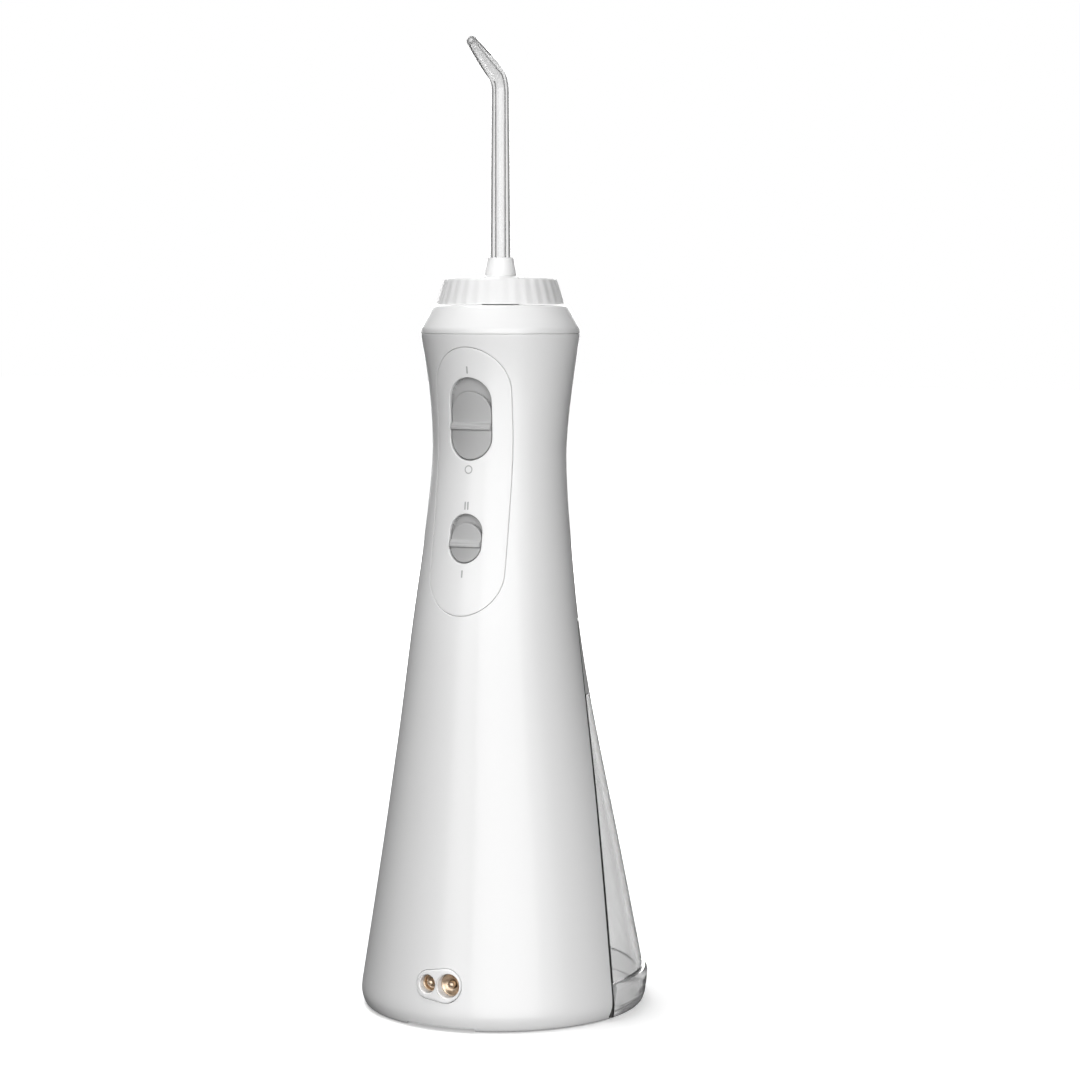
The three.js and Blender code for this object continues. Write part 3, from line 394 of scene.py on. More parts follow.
def flange(radius, depth, out=2.0, steps=7):
    """The profile of a cutter that leaves a rounded edge round the hole it makes."""
    angles = np.radians(np.linspace(78, 0, steps))
    arc = [(radius * (1 - math.cos(a)), radius * (1 - math.sin(a))) for a in angles]
    return [(arc[0][0], -out), *arc, (0, depth)]


def relief(outer, place, depth, back, roll, holes=(), spacing=0.6, steps=5):
    """A plate on a curved surface. Its face lies at depth(x, z) and its back at the depth `back`."""
    outlines = [(outer, -1), *((hole, 1) for hole in holes)]
    loops = [outline.ring(sign * roll) for outline, sign in outlines]
    low, high = loops[0].min(0), loops[0].max(0)
    columns, rows = (np.arange(low[k], high[k], spacing) for k in (0, 1))
    grid = np.stack(np.meshgrid(columns, rows), -1)
    grid = grid.reshape(-1, 2) + spacing * 0.37
    margin = 0.45 * spacing
    free = inside(grid, outer.ring(-roll - margin))
    for hole in holes:
        free &= ~inside(grid, hole.ring(roll + margin))
    points = np.vstack([*loops, grid[free]])
    edges, start = [], 0
    for loop in loops:
        count = len(loop)
        edges += [(start + i, start + (i + 1) % count) for i in range(count)]
        start += count
    made, _, triangles, origins, _, _ = delaunay_2d_cdt([Vector(p) for p in points], edges, [], 0, 1e-7)
    flat = np.array([tuple(v) for v in made])
    centres = flat[np.array(triangles)].mean(1)
    wanted = inside(centres, loops[0])
    for loop in loops[1:]:
        wanted &= ~inside(centres, loop)
    triangles = np.array(triangles)[wanted]
    index = {source: i for i, sources in enumerate(origins) for source in sources}
    face = place(flat[:, 0], flat[:, 1], depth(flat[:, 0], flat[:, 1]))
    rear = place(flat[:, 0], flat[:, 1], back)
    count = len(flat)
    vertices = [face, rear]
    faces = [tuple(t) for t in triangles] + [tuple(count + t[::-1]) for t in triangles]
    total, start = 2 * count, 0
    for (outline, sign), loop in zip(outlines, loops):
        size = len(loop)
        front_row = [index[start + i] for i in range(size)]
        edge_depth = depth(loop[:, 0], loop[:, 1])
        rows = [front_row]
        for turn in np.linspace(0, math.pi / 2, steps + 1)[1:]:
            x, z = outline.ring(sign * roll * (1 - math.sin(turn))).T
            vertices.append(place(x, z, edge_depth + roll * (1 - math.cos(turn))))
            rows.append([total + i for i in range(size)])
            total += size
        x, z = outline.ring(0).T
        vertices.append(place(x, z, back))
        rows.append([total + i for i in range(size)])
        total += size
        rows.append([count + i for i in front_row])
        for upper, lower in zip(rows, rows[1:]):
            for i in range(size):
                j = (i + 1) % size
                faces.append((upper[i], upper[j], lower[j], lower[i]))
        start += size
    return solid(np.vstack(vertices), faces)


def even(value):
    return lambda x, z: np.full(np.shape(x), value)


# ---- Materials -----------------------------------------------------------------------------


class Surface:
    """A Principled material with procedural colour, roughness and bump in the object's own metres."""

    def __init__(self, name):
        self.material = bpy.data.materials.new(name)
        self.material.use_nodes = True
        self.nodes = self.material.node_tree.nodes
        self.links = self.material.node_tree.links
        self.shader = self.nodes["Principled BSDF"]
        self.place = self.nodes.new("ShaderNodeTexCoord").outputs["Object"]

    def noise(self, scale, detail=3.0, stretch=None):
        texture = self.nodes.new("ShaderNodeTexNoise")
        texture.inputs["Scale"].default_value = scale
        texture.inputs["Detail"].default_value = detail
        source = self.place
        if stretch:
            mapping = self.nodes.new("ShaderNodeMapping")
            mapping.inputs["Scale"].default_value = stretch
            self.links.new(source, mapping.inputs["Vector"])
            source = mapping.outputs["Vector"]
        self.links.new(source, texture.inputs["Vector"])
        return texture.outputs["Fac"]

    def ramp(self, value, low, high, start=0.3, end=0.7):
        node = self.nodes.new("ShaderNodeMapRange")
        node.inputs["From Min"].default_value = start
        node.inputs["From Max"].default_value = end
        node.inputs["To Min"].default_value = low
        node.inputs["To Max"].default_value = high
        self.links.new(value, node.inputs["Value"])
        return node.outputs["Result"]

    def colours(self, value, first, second, start=0.3, end=0.7):
        node = self.nodes.new("ShaderNodeValToRGB")
        node.color_ramp.elements[0].position = start
        node.color_ramp.elements[0].color = (*first, 1)
        node.color_ramp.elements[1].position = end
        node.color_ramp.elements[1].color = (*second, 1)
        self.links.new(value, node.inputs["Fac"])
        self.links.new(node.outputs["Color"], self.shader.inputs["Base Color"])

    def rough(self, value):
        self.links.new(value, self.shader.inputs["Roughness"])

    def bump(self, value, height):
        """Adds a bump of the given height in metres to those already there."""
        node = self.nodes.new("ShaderNodeBump")
        node.inputs["Strength"].default_value = 1.0
        node.inputs["Distance"].default_value = height
        self.links.new(value, node.inputs["Height"])
        if self.shader.inputs["Normal"].links:
            self.links.new(self.shader.inputs["Normal"].links[0].from_socket, node.inputs["Normal"])
        self.links.new(node.outputs["Normal"], self.shader.inputs["Normal"])

    def set(self, **values):
        for name, value in values.items():
            self.shader.inputs[name.replace("_", " ").title().replace("Ior", "IOR")].default_value = value
        return self


def stops(ramp, greys):
    """Fills a colour ramp with (position, grey) stops."""
    for position, _ in greys[1:-1]:
        ramp.elements.new(position)
    for stop, (position, value) in zip(ramp.elements, greys):
        stop.position = position
        stop.color = (*grey(value), 1)


def moulded(name, light, dark, smooth, coarse, grain=0, grain_height=0.0):
    """Injection-moulded plastic: faint cloudiness in colour and gloss and, if it is given, a fine grain."""
    surface = Surface(name)
    surface.colours(surface.noise(9, 1), dark, light, 0.2, 0.8)
    surface.rough(surface.ramp(surface.noise(9, 1), smooth, coarse, 0.2, 0.8))
    if grain:
        surface.bump(surface.noise(grain, 2), grain_height)
    return surface


def grey(value, warm=0.0):
    return (value, value, value - warm)


def white_plastic():
    surface = moulded("white_plastic", grey(0.825), grey(0.822, 0.001), 0.275, 0.285)
    return surface.set(coat_weight=0.18, coat_roughness=0.1).material


def knob_plastic():
    surface = moulded("knob_plastic", grey(0.79), grey(0.782, 0.002), 0.38, 0.43)
    return surface.material


def switch_plastic():
    surface = moulded("switch_plastic", grey(0.45), grey(0.435), 0.46, 0.54)
    return surface.material


def clear_plastic(name="clear_plastic", clarity=0.95, light=0.96, dark=0.93):
    """Clear moulding plastic; with less clarity it is a little milky."""
    surface = Surface(name)
    surface.colours(surface.noise(60, 2), grey(light), grey(dark))
    surface.rough(surface.ramp(surface.noise(300, 4), 0.015, 0.045))
    surface.bump(surface.noise(180, 2), 4e-6)
    return surface.set(transmission_weight=clarity, ior=1.49).material


NOZZLE_Z = (0.279, 0.293)  # heights in metres between which the tip's plastic turns milky


def tip_plastic():
    """The tip's clear plastic, which is milky at its nozzle end."""
    material = clear_plastic("tip_plastic")
    nodes, links = material.node_tree.nodes, material.node_tree.links
    parts = nodes.new("ShaderNodeSeparateXYZ")
    links.new(nodes["Texture Coordinate"].outputs["Object"], parts.inputs["Vector"])
    clarity = nodes.new("ShaderNodeMapRange")
    clarity.inputs["From Min"].default_value, clarity.inputs["From Max"].default_value = NOZZLE_Z
    clarity.inputs["To Min"].default_value, clarity.inputs["To Max"].default_value = 0.95, 0.8
    links.new(parts.outputs["Z"], clarity.inputs["Value"])
    links.new(clarity.outputs["Result"], nodes["Principled BSDF"].inputs["Transmission Weight"])
    return material


def gold_contacts():
    surface = Surface("gold_contacts")
    surface.colours(surface.noise(1500, 3), (0.74, 0.60, 0.46), (0.56, 0.43, 0.31))
    surface.rough(surface.ramp(surface.noise(4000, 3), 0.3, 0.42))
    surface.bump(surface.noise(2500, 2), 1e-6)
    return surface.set(metallic=1.0).material


def brushed(name, light, dark, stretch):
    surface = Surface(name)
    surface.colours(surface.noise(900, 3), dark, light)
    fine = surface.noise(1.0, 3, stretch)
    surface.rough(surface.ramp(fine, 0.24, 0.4))
    surface.bump(fine, 3e-6)
    return surface.set(metallic=1.0).material


def rubber():
    surface = moulded("rubber", grey(0.42), grey(0.37), 0.6, 0.75, 5000, 1e-5)
    return surface.material


def hose():
    surface = moulded("hose", grey(0.78), grey(0.72, -0.01), 0.3, 0.42)
    return surface.set(transmission_weight=0.35, ior=1.41).material


def nylon():
    surface = moulded("nylon", (0.80, 0.77, 0.69), (0.74, 0.70, 0.61), 0.4, 0.5, 6000, 4e-6)
    return surface.material


def board():
    surface = Surface("board")
    tracks = surface.noise(420, 0, (1.0, 1.0, 0.25))
    surface.colours(tracks, (0.015, 0.11, 0.05), (0.03, 0.2, 0.09), 0.48, 0.52)
    surface.rough(surface.ramp(surface.noise(900, 3), 0.3, 0.45))
    surface.bump(tracks, 2e-5)
    return surface.material


def cell_wrap():
    surface = moulded("cell_wrap", (0.05, 0.16, 0.42), (0.035, 0.12, 0.34), 0.26, 0.38, 4000, 4e-6)
    return surface.material


def black_plastic():
    surface = moulded("black_plastic", grey(0.028), grey(0.02), 0.42, 0.55, 6000, 5e-6)
    return surface.material


def red_wire():
    surface = moulded("red_wire", (0.42, 0.016, 0.012), (0.33, 0.012, 0.01), 0.35, 0.45)
    return surface.material


MATERIALS = {
    "white_plastic": white_plastic(),
    "knob_plastic": knob_plastic(),
    "switch_plastic": switch_plastic(),
    "clear_plastic": clear_plastic(),
    "gold_contacts": gold_contacts(),
    "steel": brushed("steel", (0.66, 0.67, 0.68), (0.56, 0.57, 0.58), (400, 400, 6000)),
    "rubber": rubber(),
    "hose": hose(),
    "nylon": nylon(),
    "board": board(),
    "cell_wrap": cell_wrap(),
    "black_plastic": black_plastic(),
    "red_wire": red_wire(),
}


SHARP = math.radians(32)  # edges that turn by more than this stay sharp


def shade(mesh):
    mesh.shade_smooth()
    mesh.set_sharp_from_angle(angle=SHARP)


def finished(piece, name, body, slot, *replaced, material=None):
    """Names a piece, gives it its material and its body, and hides the CAD nodes that it stands for."""
    piece.name = name
    piece.data.name = name
    piece.data.materials.clear()
    piece.data.materials.append(material or MATERIALS[slot])
    shade(piece.data)
    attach(piece, body)
    if replaced:
        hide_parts(*replaced)


# ---- Casing --------------------------------------------------------------------------------

COVER = {"width": 35.4, "bottom": 14.0, "top": 106.0, "corner": 4.0, "pocket": 1.8, "thick": 1.5}
SCREWS = [(side * 14.2, z) for side in (-1, 1) for z in (19.0, 101.0)]
PORT = {"x": 11.0, "z": 84.0, "tube": 2.2, "hole": 4.2}
EJECT = {"width": 11.0, "height": 13.0, "z": 186.0, "proud": 0.7, "plunger": 2.0}
EDGE = 0.25  # how far the edges of a seam are rounded
FINE_EDGE, FINE_GAP = 0.16, 0.13  # the same, and the gap, round the panel and the contacts

PANEL_LINE = capsule(PANEL["width"], PANEL["height"], 0, PANEL["z"])
POWER_LINE = capsule(POWER["width"], POWER["height"], 0, POWER["z"])
PRESSURE_LINE = capsule(PRESSURE["width"], PRESSURE["height"], 0, PRESSURE["z"])
EJECT_LINE = capsule(EJECT["width"], EJECT["height"], 0, EJECT["z"])
CONTACT_LINE = egg(CONTACT_Z)
COVER_LINE = rounded_box(
    COVER["width"], COVER["top"] - COVER["bottom"], COVER["corner"],
    0, (COVER["top"] + COVER["bottom"]) / 2, 1.0,
)


def grown(profile, grow):
    return [(g + grow, depth) for g, depth in profile]


def on_plane(x, z, y):
    x, z = np.broadcast_arrays(np.asarray(x, float), np.asarray(z, float))
    return np.stack([x, np.full(x.shape, float(y)), z], axis=-1)


def on_table(x, y, z):
    x, y = np.broadcast_arrays(np.asarray(x, float), np.asarray(y, float))
    return np.stack([x, y, np.full(x.shape, float(z))], axis=-1)


def foot_line(node):
    """The outline of a foot, drawn with x across and y up."""
    low, high = box(node)
    middle_x, middle_y = (low.x + high.x) / 2, (low.y + high.y) / 2
    return rounded_box(high.x - low.x, high.y - low.y, 4.0, middle_x, middle_y)


def foot_pocket(node):
    return plug(foot_line(node), [(GAP, BOTTOM - 1), (GAP, box(node)[1].z + GAP)], on_table)


def main_casing():
    top = CASING_TOP["z"]
    base_top = BOTTOM + BASE["round"]
    casing = form([
        *round_under(BOTTOM, BASE["round"], BASE["inset"], 0),
        *levels(base_top, top - 0.8, 0),
        *round_over(top, 0.15, 0),
    ])
    hollow = form([
        *round_under(BOTTOM + WALL, INSIDE_ROUND, INSIDE_ROUND, WALL),
        *levels(BOTTOM + WALL + INSIDE_ROUND, top + 5, WALL, 3.0),
    ], 120)
    cut(hollow, behind_seam(-SEAM["wall"], SEAM["top"] + WALL))
    panel_hole = plug(PANEL_LINE, grown(flange(FINE_EDGE, PANEL["thick"] + GAP), FINE_GAP), on_front)
    contact_hole = plug(CONTACT_LINE, grown(flange(FINE_EDGE, 6.0), FINE_GAP), on_front)
    eject_hole = plug(EJECT_LINE, grown(flange(EDGE, 6.0), GAP), on_back)
    cover_hole = plug(COVER_LINE, grown(flange(EDGE, COVER["pocket"]), GAP), on_seam)
    low, high = BOTTOM - 1, BOTTOM + NOTCH["height"]
    front, back = -60, NOTCH["back"]
    notch = slab([(front, low), (back, low), (back, high), (front, high)], NOTCH["half_width"])
    window = plug(PANEL_LINE, [(-2.0, -60), (-2.0, NECK["y"])], on_plane)
    foot_hole = foot_pocket("front_foot")
    return cut(
        casing, behind_seam(0), hollow, panel_hole, contact_hole, eject_hole, cover_hole, notch,
        foot_hole, window,
    )


finished(main_casing(), "casing_shell", "handle", "white_plastic", "main_casing")

cover_holes = [disc(PORT["hole"], PORT["x"], PORT["z"]), *(disc(2.5, x, z) for x, z in SCREWS)]
rear_cover = relief(COVER_LINE, on_seam, even(0), COVER["thick"], EDGE, cover_holes, 1.5)
finished(rear_cover, "rear_cover_plate", "handle", "white_plastic", "rear_cover")


# The dark strip below is painted shade along the seam between casing and reservoir.
SHADOW_STRIP = {"front": -0.48, "rear": GAP - 0.06, "proud": 0.02, "width": 1.7, "short": 0.8}


def seam_shadow_strip():
    """A dark strip round the casing's rear face: painted shade, a dark piece standing for the dark line
    between casing and reservoir.
    """
    low, high = BOTTOM + SHADOW_STRIP["short"], SEAM["top"] - SHADOW_STRIP["short"]
    under, over = low - 2, high + 2
    front, rear = SHADOW_STRIP["front"], SHADOW_STRIP["rear"]
    strip = form(levels(low, high, -SHADOW_STRIP["proud"]))
    keep(strip, slab([
        (seam_y(under) + front, under), (seam_y(under) + rear, under),
        (seam_y(over) + rear, over), (seam_y(over) + front, over),
    ], 70))
    return cut(strip, form(levels(low - 3, high + 3, SHADOW_STRIP["width"], 2.0), 120))


# The seam's dark line, drawn as a dark strip: painted shade.
finished(seam_shadow_strip(), "seam_shadow_strip", "handle", "black_plastic")

# ---- Charging contacts ---------------------------------------------------------------------


def contact_boss():
    boss = relief(CONTACT_LINE, on_front, even(-0.5), 7.0, 0.45, spacing=0.35)
    for x, radius, _ in CONTACTS:
        cut(boss, plug(disc(radius, x, CONTACT_Z), flange(0.35, 4.5, 3.0), on_front))
        cut(boss, plug(disc(1.4, x, CONTACT_Z, 24), [(0, -3), (0, 8)], on_front))
    return boss


finished(contact_boss(), "contact_lip", "handle", "white_plastic", "contact_boss")


def contact_pin(x, side):
    """A gold pin with a domed end, lying along Y."""
    low, high = box(f"contact_pin_{side}")
    radius = (high.x - low.x) / 2
    angles = np.radians(np.linspace(8, 90, 9))
    dome = [(radius * math.sin(a), low.y + radius * 0.7 * (1 - math.cos(a))) for a in angles]
    pin = loft([ring_y(r, x, y, CONTACT_Z, 40) for r, y in [*dome, (radius, high.y)]])
    finished(pin, f"gold_pin_{side}", "handle", "gold_contacts", f"contact_pin_{side}")


def contact_cup(x, radius, side):
    """The dished gold seat that the pin stands in, at the bottom of its recess."""
    front = on_front(x, CONTACT_Z, 0)[1]
    reach, bore, back = radius - 0.06, 1.3, 4.4
    profile = [
        (bore, back), (reach, back), (reach, 2.3), (reach - 0.35, 2.35), (reach * 0.7, 3.0), (1.9, 3.3),
        (bore, 3.35),
    ]
    seat = looped([ring_y(r, x, front + depth, CONTACT_Z, 64) for r, depth in soften(profile, 0.3)])
    finished(seat, f"gold_seat_{side}", "handle", "gold_contacts")


for x, radius, side in CONTACTS:
    contact_pin(x, side)
    contact_cup(x, radius, side)

# ---- Control panel and switches ------------------------------------------------------------

panel = relief(
    PANEL_LINE, on_front, even(0), PANEL["thick"], FINE_EDGE, [POWER_LINE, PRESSURE_LINE], spacing=0.9
)
finished(panel, "switch_panel", "handle", "white_plastic", "control_panel")


def tray(line, name):
    """The shallow grey dish behind a slot, on which the slider runs."""
    rim, floor = PANEL["thick"] + GAP, 2.4

    def depth(x, z):
        points = np.stack([np.ravel(x), np.ravel(z)], -1)
        return np.where(inside(points, line.ring(0.25)), floor, rim)

    dish = relief(Outline(line.centres, line.radii + 1.2, np.arctan2(*line.turns.T[::-1])),
                  on_front, depth, 3.4, 0.1, spacing=0.5)
    finished(dish, name + "_dish", "handle", "switch_plastic", name)


tray(POWER_LINE, "power_switch_tray")
tray(PRESSURE_LINE, "pressure_switch_tray")


def slider(slot, node, body):
    """A thumb slider: a hollow for the thumb above a ridge, and a plain half below it."""
    side, sink, back = 0.4, 0.4, 1.6
    height = slot["height"] - slot["travel"] - 2 * side + 0.2
    z_middle = slot["z"] - slot["height"] / 2 + side + height / 2
    ridge_z = z_middle - 0.5
    line = capsule(slot["width"] - 2 * side, height, 0, z_middle, 0.3)

    def depth(x, z):
        top = z_middle + height / 2
        share = np.clip((top - z) / (top - ridge_z), 0, 1)
        hollow = 0.2 * np.sin(math.pi * share**1.2 * 0.62)
        ridge = 1.15 * np.exp(-np.clip((z - ridge_z) / 1.1, 0, None) ** 6)
        step = np.clip((z - (ridge_z - 1.0)) / 0.25, 0, 1)
        return sink + 0.1 + np.where(z > ridge_z, hollow, 0) - ridge * step

    plate = relief(line, on_front, depth, back, 0.3, spacing=0.18)
    finished(plate, node + "_cap", body, "switch_plastic", node)


slider(POWER, "power_slider", "power_switch")
slider(PRESSURE, "pressure_slider", "pressure_switch")


def mark(name, outline, holes=()):
    """A printed switch mark, a hair proud of the panel."""
    piece = relief(outline, on_front, even(-0.03), 0.3, 0.02, holes, spacing=0.4, steps=1)
    finished(piece, name, "handle", "switch_plastic")


def bar(x, z, height):
    return rounded_box(0.5, height, 0.2, x, z, 0.2)


POWER_TOP = POWER["z"] + POWER["height"] / 2
POWER_BOTTOM = POWER["z"] - POWER["height"] / 2
PRESSURE_TOP = PRESSURE["z"] + PRESSURE["height"] / 2
PRESSURE_BOTTOM = PRESSURE["z"] - PRESSURE["height"] / 2
mark("mark_on", bar(0, POWER_TOP + 2.2, 2.2))
mark("mark_off", disc(1.3, 0, POWER_BOTTOM - 2.6), [disc(0.95, 0, POWER_BOTTOM - 2.6)])
mark("mark_high_left", bar(-0.45, PRESSURE_TOP + 2.4, 2.4))
mark("mark_high_right", bar(0.45, PRESSURE_TOP + 2.4, 2.4))
mark("mark_low", bar(0, PRESSURE_BOTTOM - 3.0, 2.2))

# ---- Tip release ---------------------------------------------------------------------------


def release_button():
    """The oval button on the back of the neck, a little dished, with the plunger behind it."""
    inner_end = box("eject_button")[0].y
    outer_end = on_back(0, EJECT["z"], 1.0)[1]

    def depth(x, z):
        return 0.3 * np.exp(-(x**2 + (z - EJECT["z"]) ** 2) / 9) - EJECT["proud"]

    button = relief(EJECT_LINE, on_back, depth, 2.0, 0.45, spacing=0.5)
    plunger = loft([ring_y(EJECT["plunger"], 0, y, EJECT["z"], 40) for y in (inner_end, outer_end)])
    return join(button, plunger)


finished(release_button(), "release_button", "tip_release", "white_plastic", "eject_button")

# ---- Collar, knob, socket and tip ----------------------------------------------------------

AXIS = (0.0, NECK["y"])


def top_collar():
    low, high = box("top_collar")
    edge, top_radius, skirt = low.z + 4.9, 20.7, 20.7
    seat = CASING_TOP["z"] + 0.08
    return turned(soften([
        (6.3, seat), (skirt - WALL, seat), (skirt - WALL, low.z), (skirt, low.z), (skirt, seat),
        (CASING_TOP["radius"], seat),
        (CASING_TOP["radius"], edge), (top_radius, high.z), (6.3, high.z),
    ], [0.3, 0.3, 0.3, 0.3, 0.3, 0.12, 0.9, 0.9, 0.3]), 256, AXIS)


finished(top_collar(), "collar_ring", "handle", "white_plastic", "top_collar")

KNOB = {"radius": 19.5, "top_radius": 17.1, "flutes": 32, "flute": 0.15}


def rotation_knob():
    """A tapered ring whose wall is scalloped; the scallops die out at its two edges."""
    low, high = box("rotation_knob")
    height = high.z - low.z
    sides = KNOB["flutes"] * 18
    angles = np.linspace(0, 2 * math.pi, sides, endpoint=False)
    scallop = 0.5 + 0.5 * np.cos(KNOB["flutes"] * angles)
    rings = []

    def ring_at(up, inset, wave):
        radius = KNOB["radius"] + (KNOB["top_radius"] - KNOB["radius"]) * up / height - inset
        out = radius - KNOB["flute"] * wave * scallop
        rings.append(np.stack([
            AXIS[0] + out * np.cos(angles), AXIS[1] + out * np.sin(angles), np.full(sides, low.z + up),
        ], axis=-1))

    inner, roof = 8.5, height - 3
    ring_at(roof, KNOB["radius"] - inner - 6.4, 0)
    ring_at(0, 2.2, 0)
    for turn in np.linspace(0, math.pi / 2, 6):
        ring_at(0.5 * (1 - math.sin(turn)), 0.4 * math.cos(turn), math.sin(turn))
    for up in np.linspace(0.7, height - 1.1, 12):
        ring_at(up, 0, 1)
    for turn in np.linspace(0, math.pi / 2, 8)[1:]:
        ring_at(height - 0.9 * (1 - math.sin(turn)), 0.9 * (1 - math.cos(turn)), math.cos(turn) ** 0.5)
    bore = 7.3
    inside_wall = [
        (bore + 0.4, high.z), (bore, high.z - 0.4), (bore, low.z), (inner, low.z), (inner, low.z + roof),
    ]
    rings += [ring_z(radius, z, sides, AXIS) for radius, z in inside_wall]
    return looped(rings)


finished(rotation_knob(), "fluted_knob", "knob", "knob_plastic", "rotation_knob")

SOCKET = {"top_radius": 3.95, "foot": 5.0, "bore": 3.6, "spindle": 5.6, "flange": 7.0}


def tip_socket():
    low, high = box("tip_socket")
    knob_low, knob_high = box("rotation_knob")
    bead = knob_high.z + 0.35
    return turned(soften([
        (SOCKET["bore"], low.z + 3), (SOCKET["bore"], high.z - 0.3), (SOCKET["bore"] + 0.15, high.z),
        (SOCKET["top_radius"], high.z), (SOCKET["foot"], bead + 0.25), (SOCKET["flange"] - 0.4, bead - 0.1),
        (SOCKET["flange"], knob_high.z - 0.3), (SOCKET["flange"], knob_low.z),
        (SOCKET["spindle"], knob_low.z), (SOCKET["spindle"], low.z), (1.2, low.z), (1.2, low.z + 3),
    ], 0.3), 160, AXIS)


finished(tip_socket(), "socket_cone", "knob", "white_plastic", "tip_socket")

TIP = {
    "radius": 3.1, "bore": 1.3, "shaft_top": 274.7, "top_radius": 2.65, "bend": 6.0, "angle": 62.0,
    "end": 18.4, "end_radius": 1.5, "end_bore": 0.6,
}


def jet_tip():
    """A clear tapered tube that goes straight up, bends forward and ends in a fine nozzle."""
    foot = box("jet_tip")[0].z
    sides = 64
    rise = TIP["shaft_top"] - foot
    turn = math.radians(TIP["angle"])
    total = rise + TIP["bend"] * turn + TIP["end"]
    socket_top = box("tip_socket")[1].z - foot
    bend_start, bend_end = rise, rise + TIP["bend"] * turn
    marks = np.unique(np.concatenate([
        np.linspace(0, bend_start, 60),
        np.linspace(bend_start, bend_end, 25),
        np.linspace(bend_end, total, 40),
    ]))

    def section(along, radius):
        angle = min(turn, max(0.0, (along - rise) / TIP["bend"]))
        beyond = max(0.0, along - bend_end)
        up = min(along, rise) + TIP["bend"] * math.sin(angle) + beyond * math.cos(angle)
        forward = TIP["bend"] * (1 - math.cos(angle)) + beyond * math.sin(angle)
        centre = np.array([AXIS[0], AXIS[1] - forward, foot + up])
        normal = np.array([0, math.cos(angle), math.sin(angle)])
        cos, sin = circle(sides)
        return centre + radius * (cos[:, None] * np.array([1.0, 0, 0]) + sin[:, None] * normal)

    def outer(along):
        if along < socket_top:
            return TIP["radius"]
        if along < rise:
            share = (along - socket_top) / (rise - socket_top)
            return TIP["radius"] + (TIP["top_radius"] - TIP["radius"]) * share
        left = min(1.0, max(0.0, (total - along) / TIP["end"]))
        smooth = left * left * (3 - 2 * left)
        return TIP["end_radius"] + (TIP["top_radius"] - TIP["end_radius"]) * math.sqrt(smooth)

    def bore(along):
        share = min(1.0, max(0.0, (along - bend_start) / (total - bend_start)))
        return TIP["bore"] + (TIP["end_bore"] - TIP["bore"]) * share

    rings = [section(along, outer(along)) for along in marks[:-1]]
    lip = 0.25
    for a in np.linspace(0, math.pi / 2, 5):
        rings.append(section(total - lip * (1 - math.sin(a)), TIP["end_radius"] - lip * (1 - math.cos(a))))
    rings += [section(along, bore(along)) for along in marks[::-1]]
    return looped(rings)


finished(jet_tip(), "jet_tube", "tip", "clear_plastic", "jet_tip", material=tip_plastic())

# ---- Reservoir -----------------------------------------------------------------------------

TANK = {"wall": 1.8, "floor": -0.2, "lip": 1.2}
TANK_PLASTIC = clear_plastic("tank_plastic", 0.93, 0.98, 0.95)
TANK_BASE_PLASTIC = clear_plastic("tank_base_plastic", 0.8, 0.99, 0.97)


def behind_tank_face(extra=0.0):
    return behind_seam(GAP + extra, 200)


def tank_hollow(bottom, top):
    hollow = form(levels(bottom, top, TANK["wall"], 2.0), 160)
    return keep(hollow, behind_tank_face(TANK["wall"]))


def tank_shell():
    low, high = box("tank_shell")
    shell = form(levels(low.z, high.z, 0))
    keep(shell, behind_tank_face())
    hole = plug(disc(PORT["tube"] + GAP, PORT["x"], PORT["z"], 32), [(0, 3), (0, -12)], on_seam)
    return cut(shell, tank_hollow(low.z - 2, high.z + 2), hole)


finished(tank_shell(), "clear_shell", "reservoir", "clear_plastic", "tank_shell", material=TANK_PLASTIC)


def tank_base():
    top = box("tank_base")[1].z
    lip, swell = TANK["lip"], 1.5
    under = round_under(BOTTOM, BASE["round"], BASE["inset"], 0)
    cushion = [
        (swell, 0.15), (3.0, 0.6), (4.4, 0.95), (5.4, lip), (6.0, lip), (6.4, lip - 0.15), (top, lip - 0.4),
    ]
    stations = [*((z, inset) for z, inset in under if z < swell), *((z, -out) for z, out in cushion)]
    base = keep(form(stations), behind_tank_face())
    pockets = [foot_pocket(f"tank_foot_{side}") for side in ("left", "right")]
    return cut(base, tank_hollow(TANK["floor"], top + 2), *pockets)


finished(tank_base(), "clear_base", "reservoir", "clear_plastic", "tank_base", material=TANK_BASE_PLASTIC)

DOOR = {"width": 26.0, "bottom": 96.0, "top": 111.2, "corner": 2.5, "hinge_room": 1.6}


def tank_cap():
    low, high = box("tank_cap")
    cap = form([*levels(low.z, high.z - 0.5, 0), *round_over(high.z, 0.3, 0)])
    keep(cap, behind_tank_face())
    bottom, top = DOOR["bottom"], DOOR["top"] + DOOR["hinge_room"]
    opening = rounded_box(DOOR["width"], top - bottom, DOOR["corner"], 0, (bottom + top) / 2)
    cut(cap, tank_hollow(low.z - 2, high.z - TANK["wall"]))
    return cut(cap, plug(opening, grown(flange(0.2, 12.0), GAP), on_back))


finished(tank_cap(), "cap_shell", "reservoir", "white_plastic", "tank_cap")

# ---- The frame's own pieces ----------------------------------------------------------------

for row in frame["record"]["subparts"]:
    node = frame["nodes"][row["node"]]
    node.data.materials.clear()
    node.data.materials.append(MATERIALS[row["material_slot"]])
    shade(node.data)

# ---- Floor, light and camera ---------------------------------------------------------------

AZIMUTH = math.radians(26.5)
CAMERA = {
    "distance": 0.888, "height": 0.216, "aim_right": math.radians(0.773), "aim_down": math.radians(4.71),
}
LENS = 97.1
# The floor's glow is painted light, weaker near the object and white far away.
FLOOR = {"size": 12.0, "near": 0.15, "far": 1.0, "glow_near": 0.31, "white": 0.98}


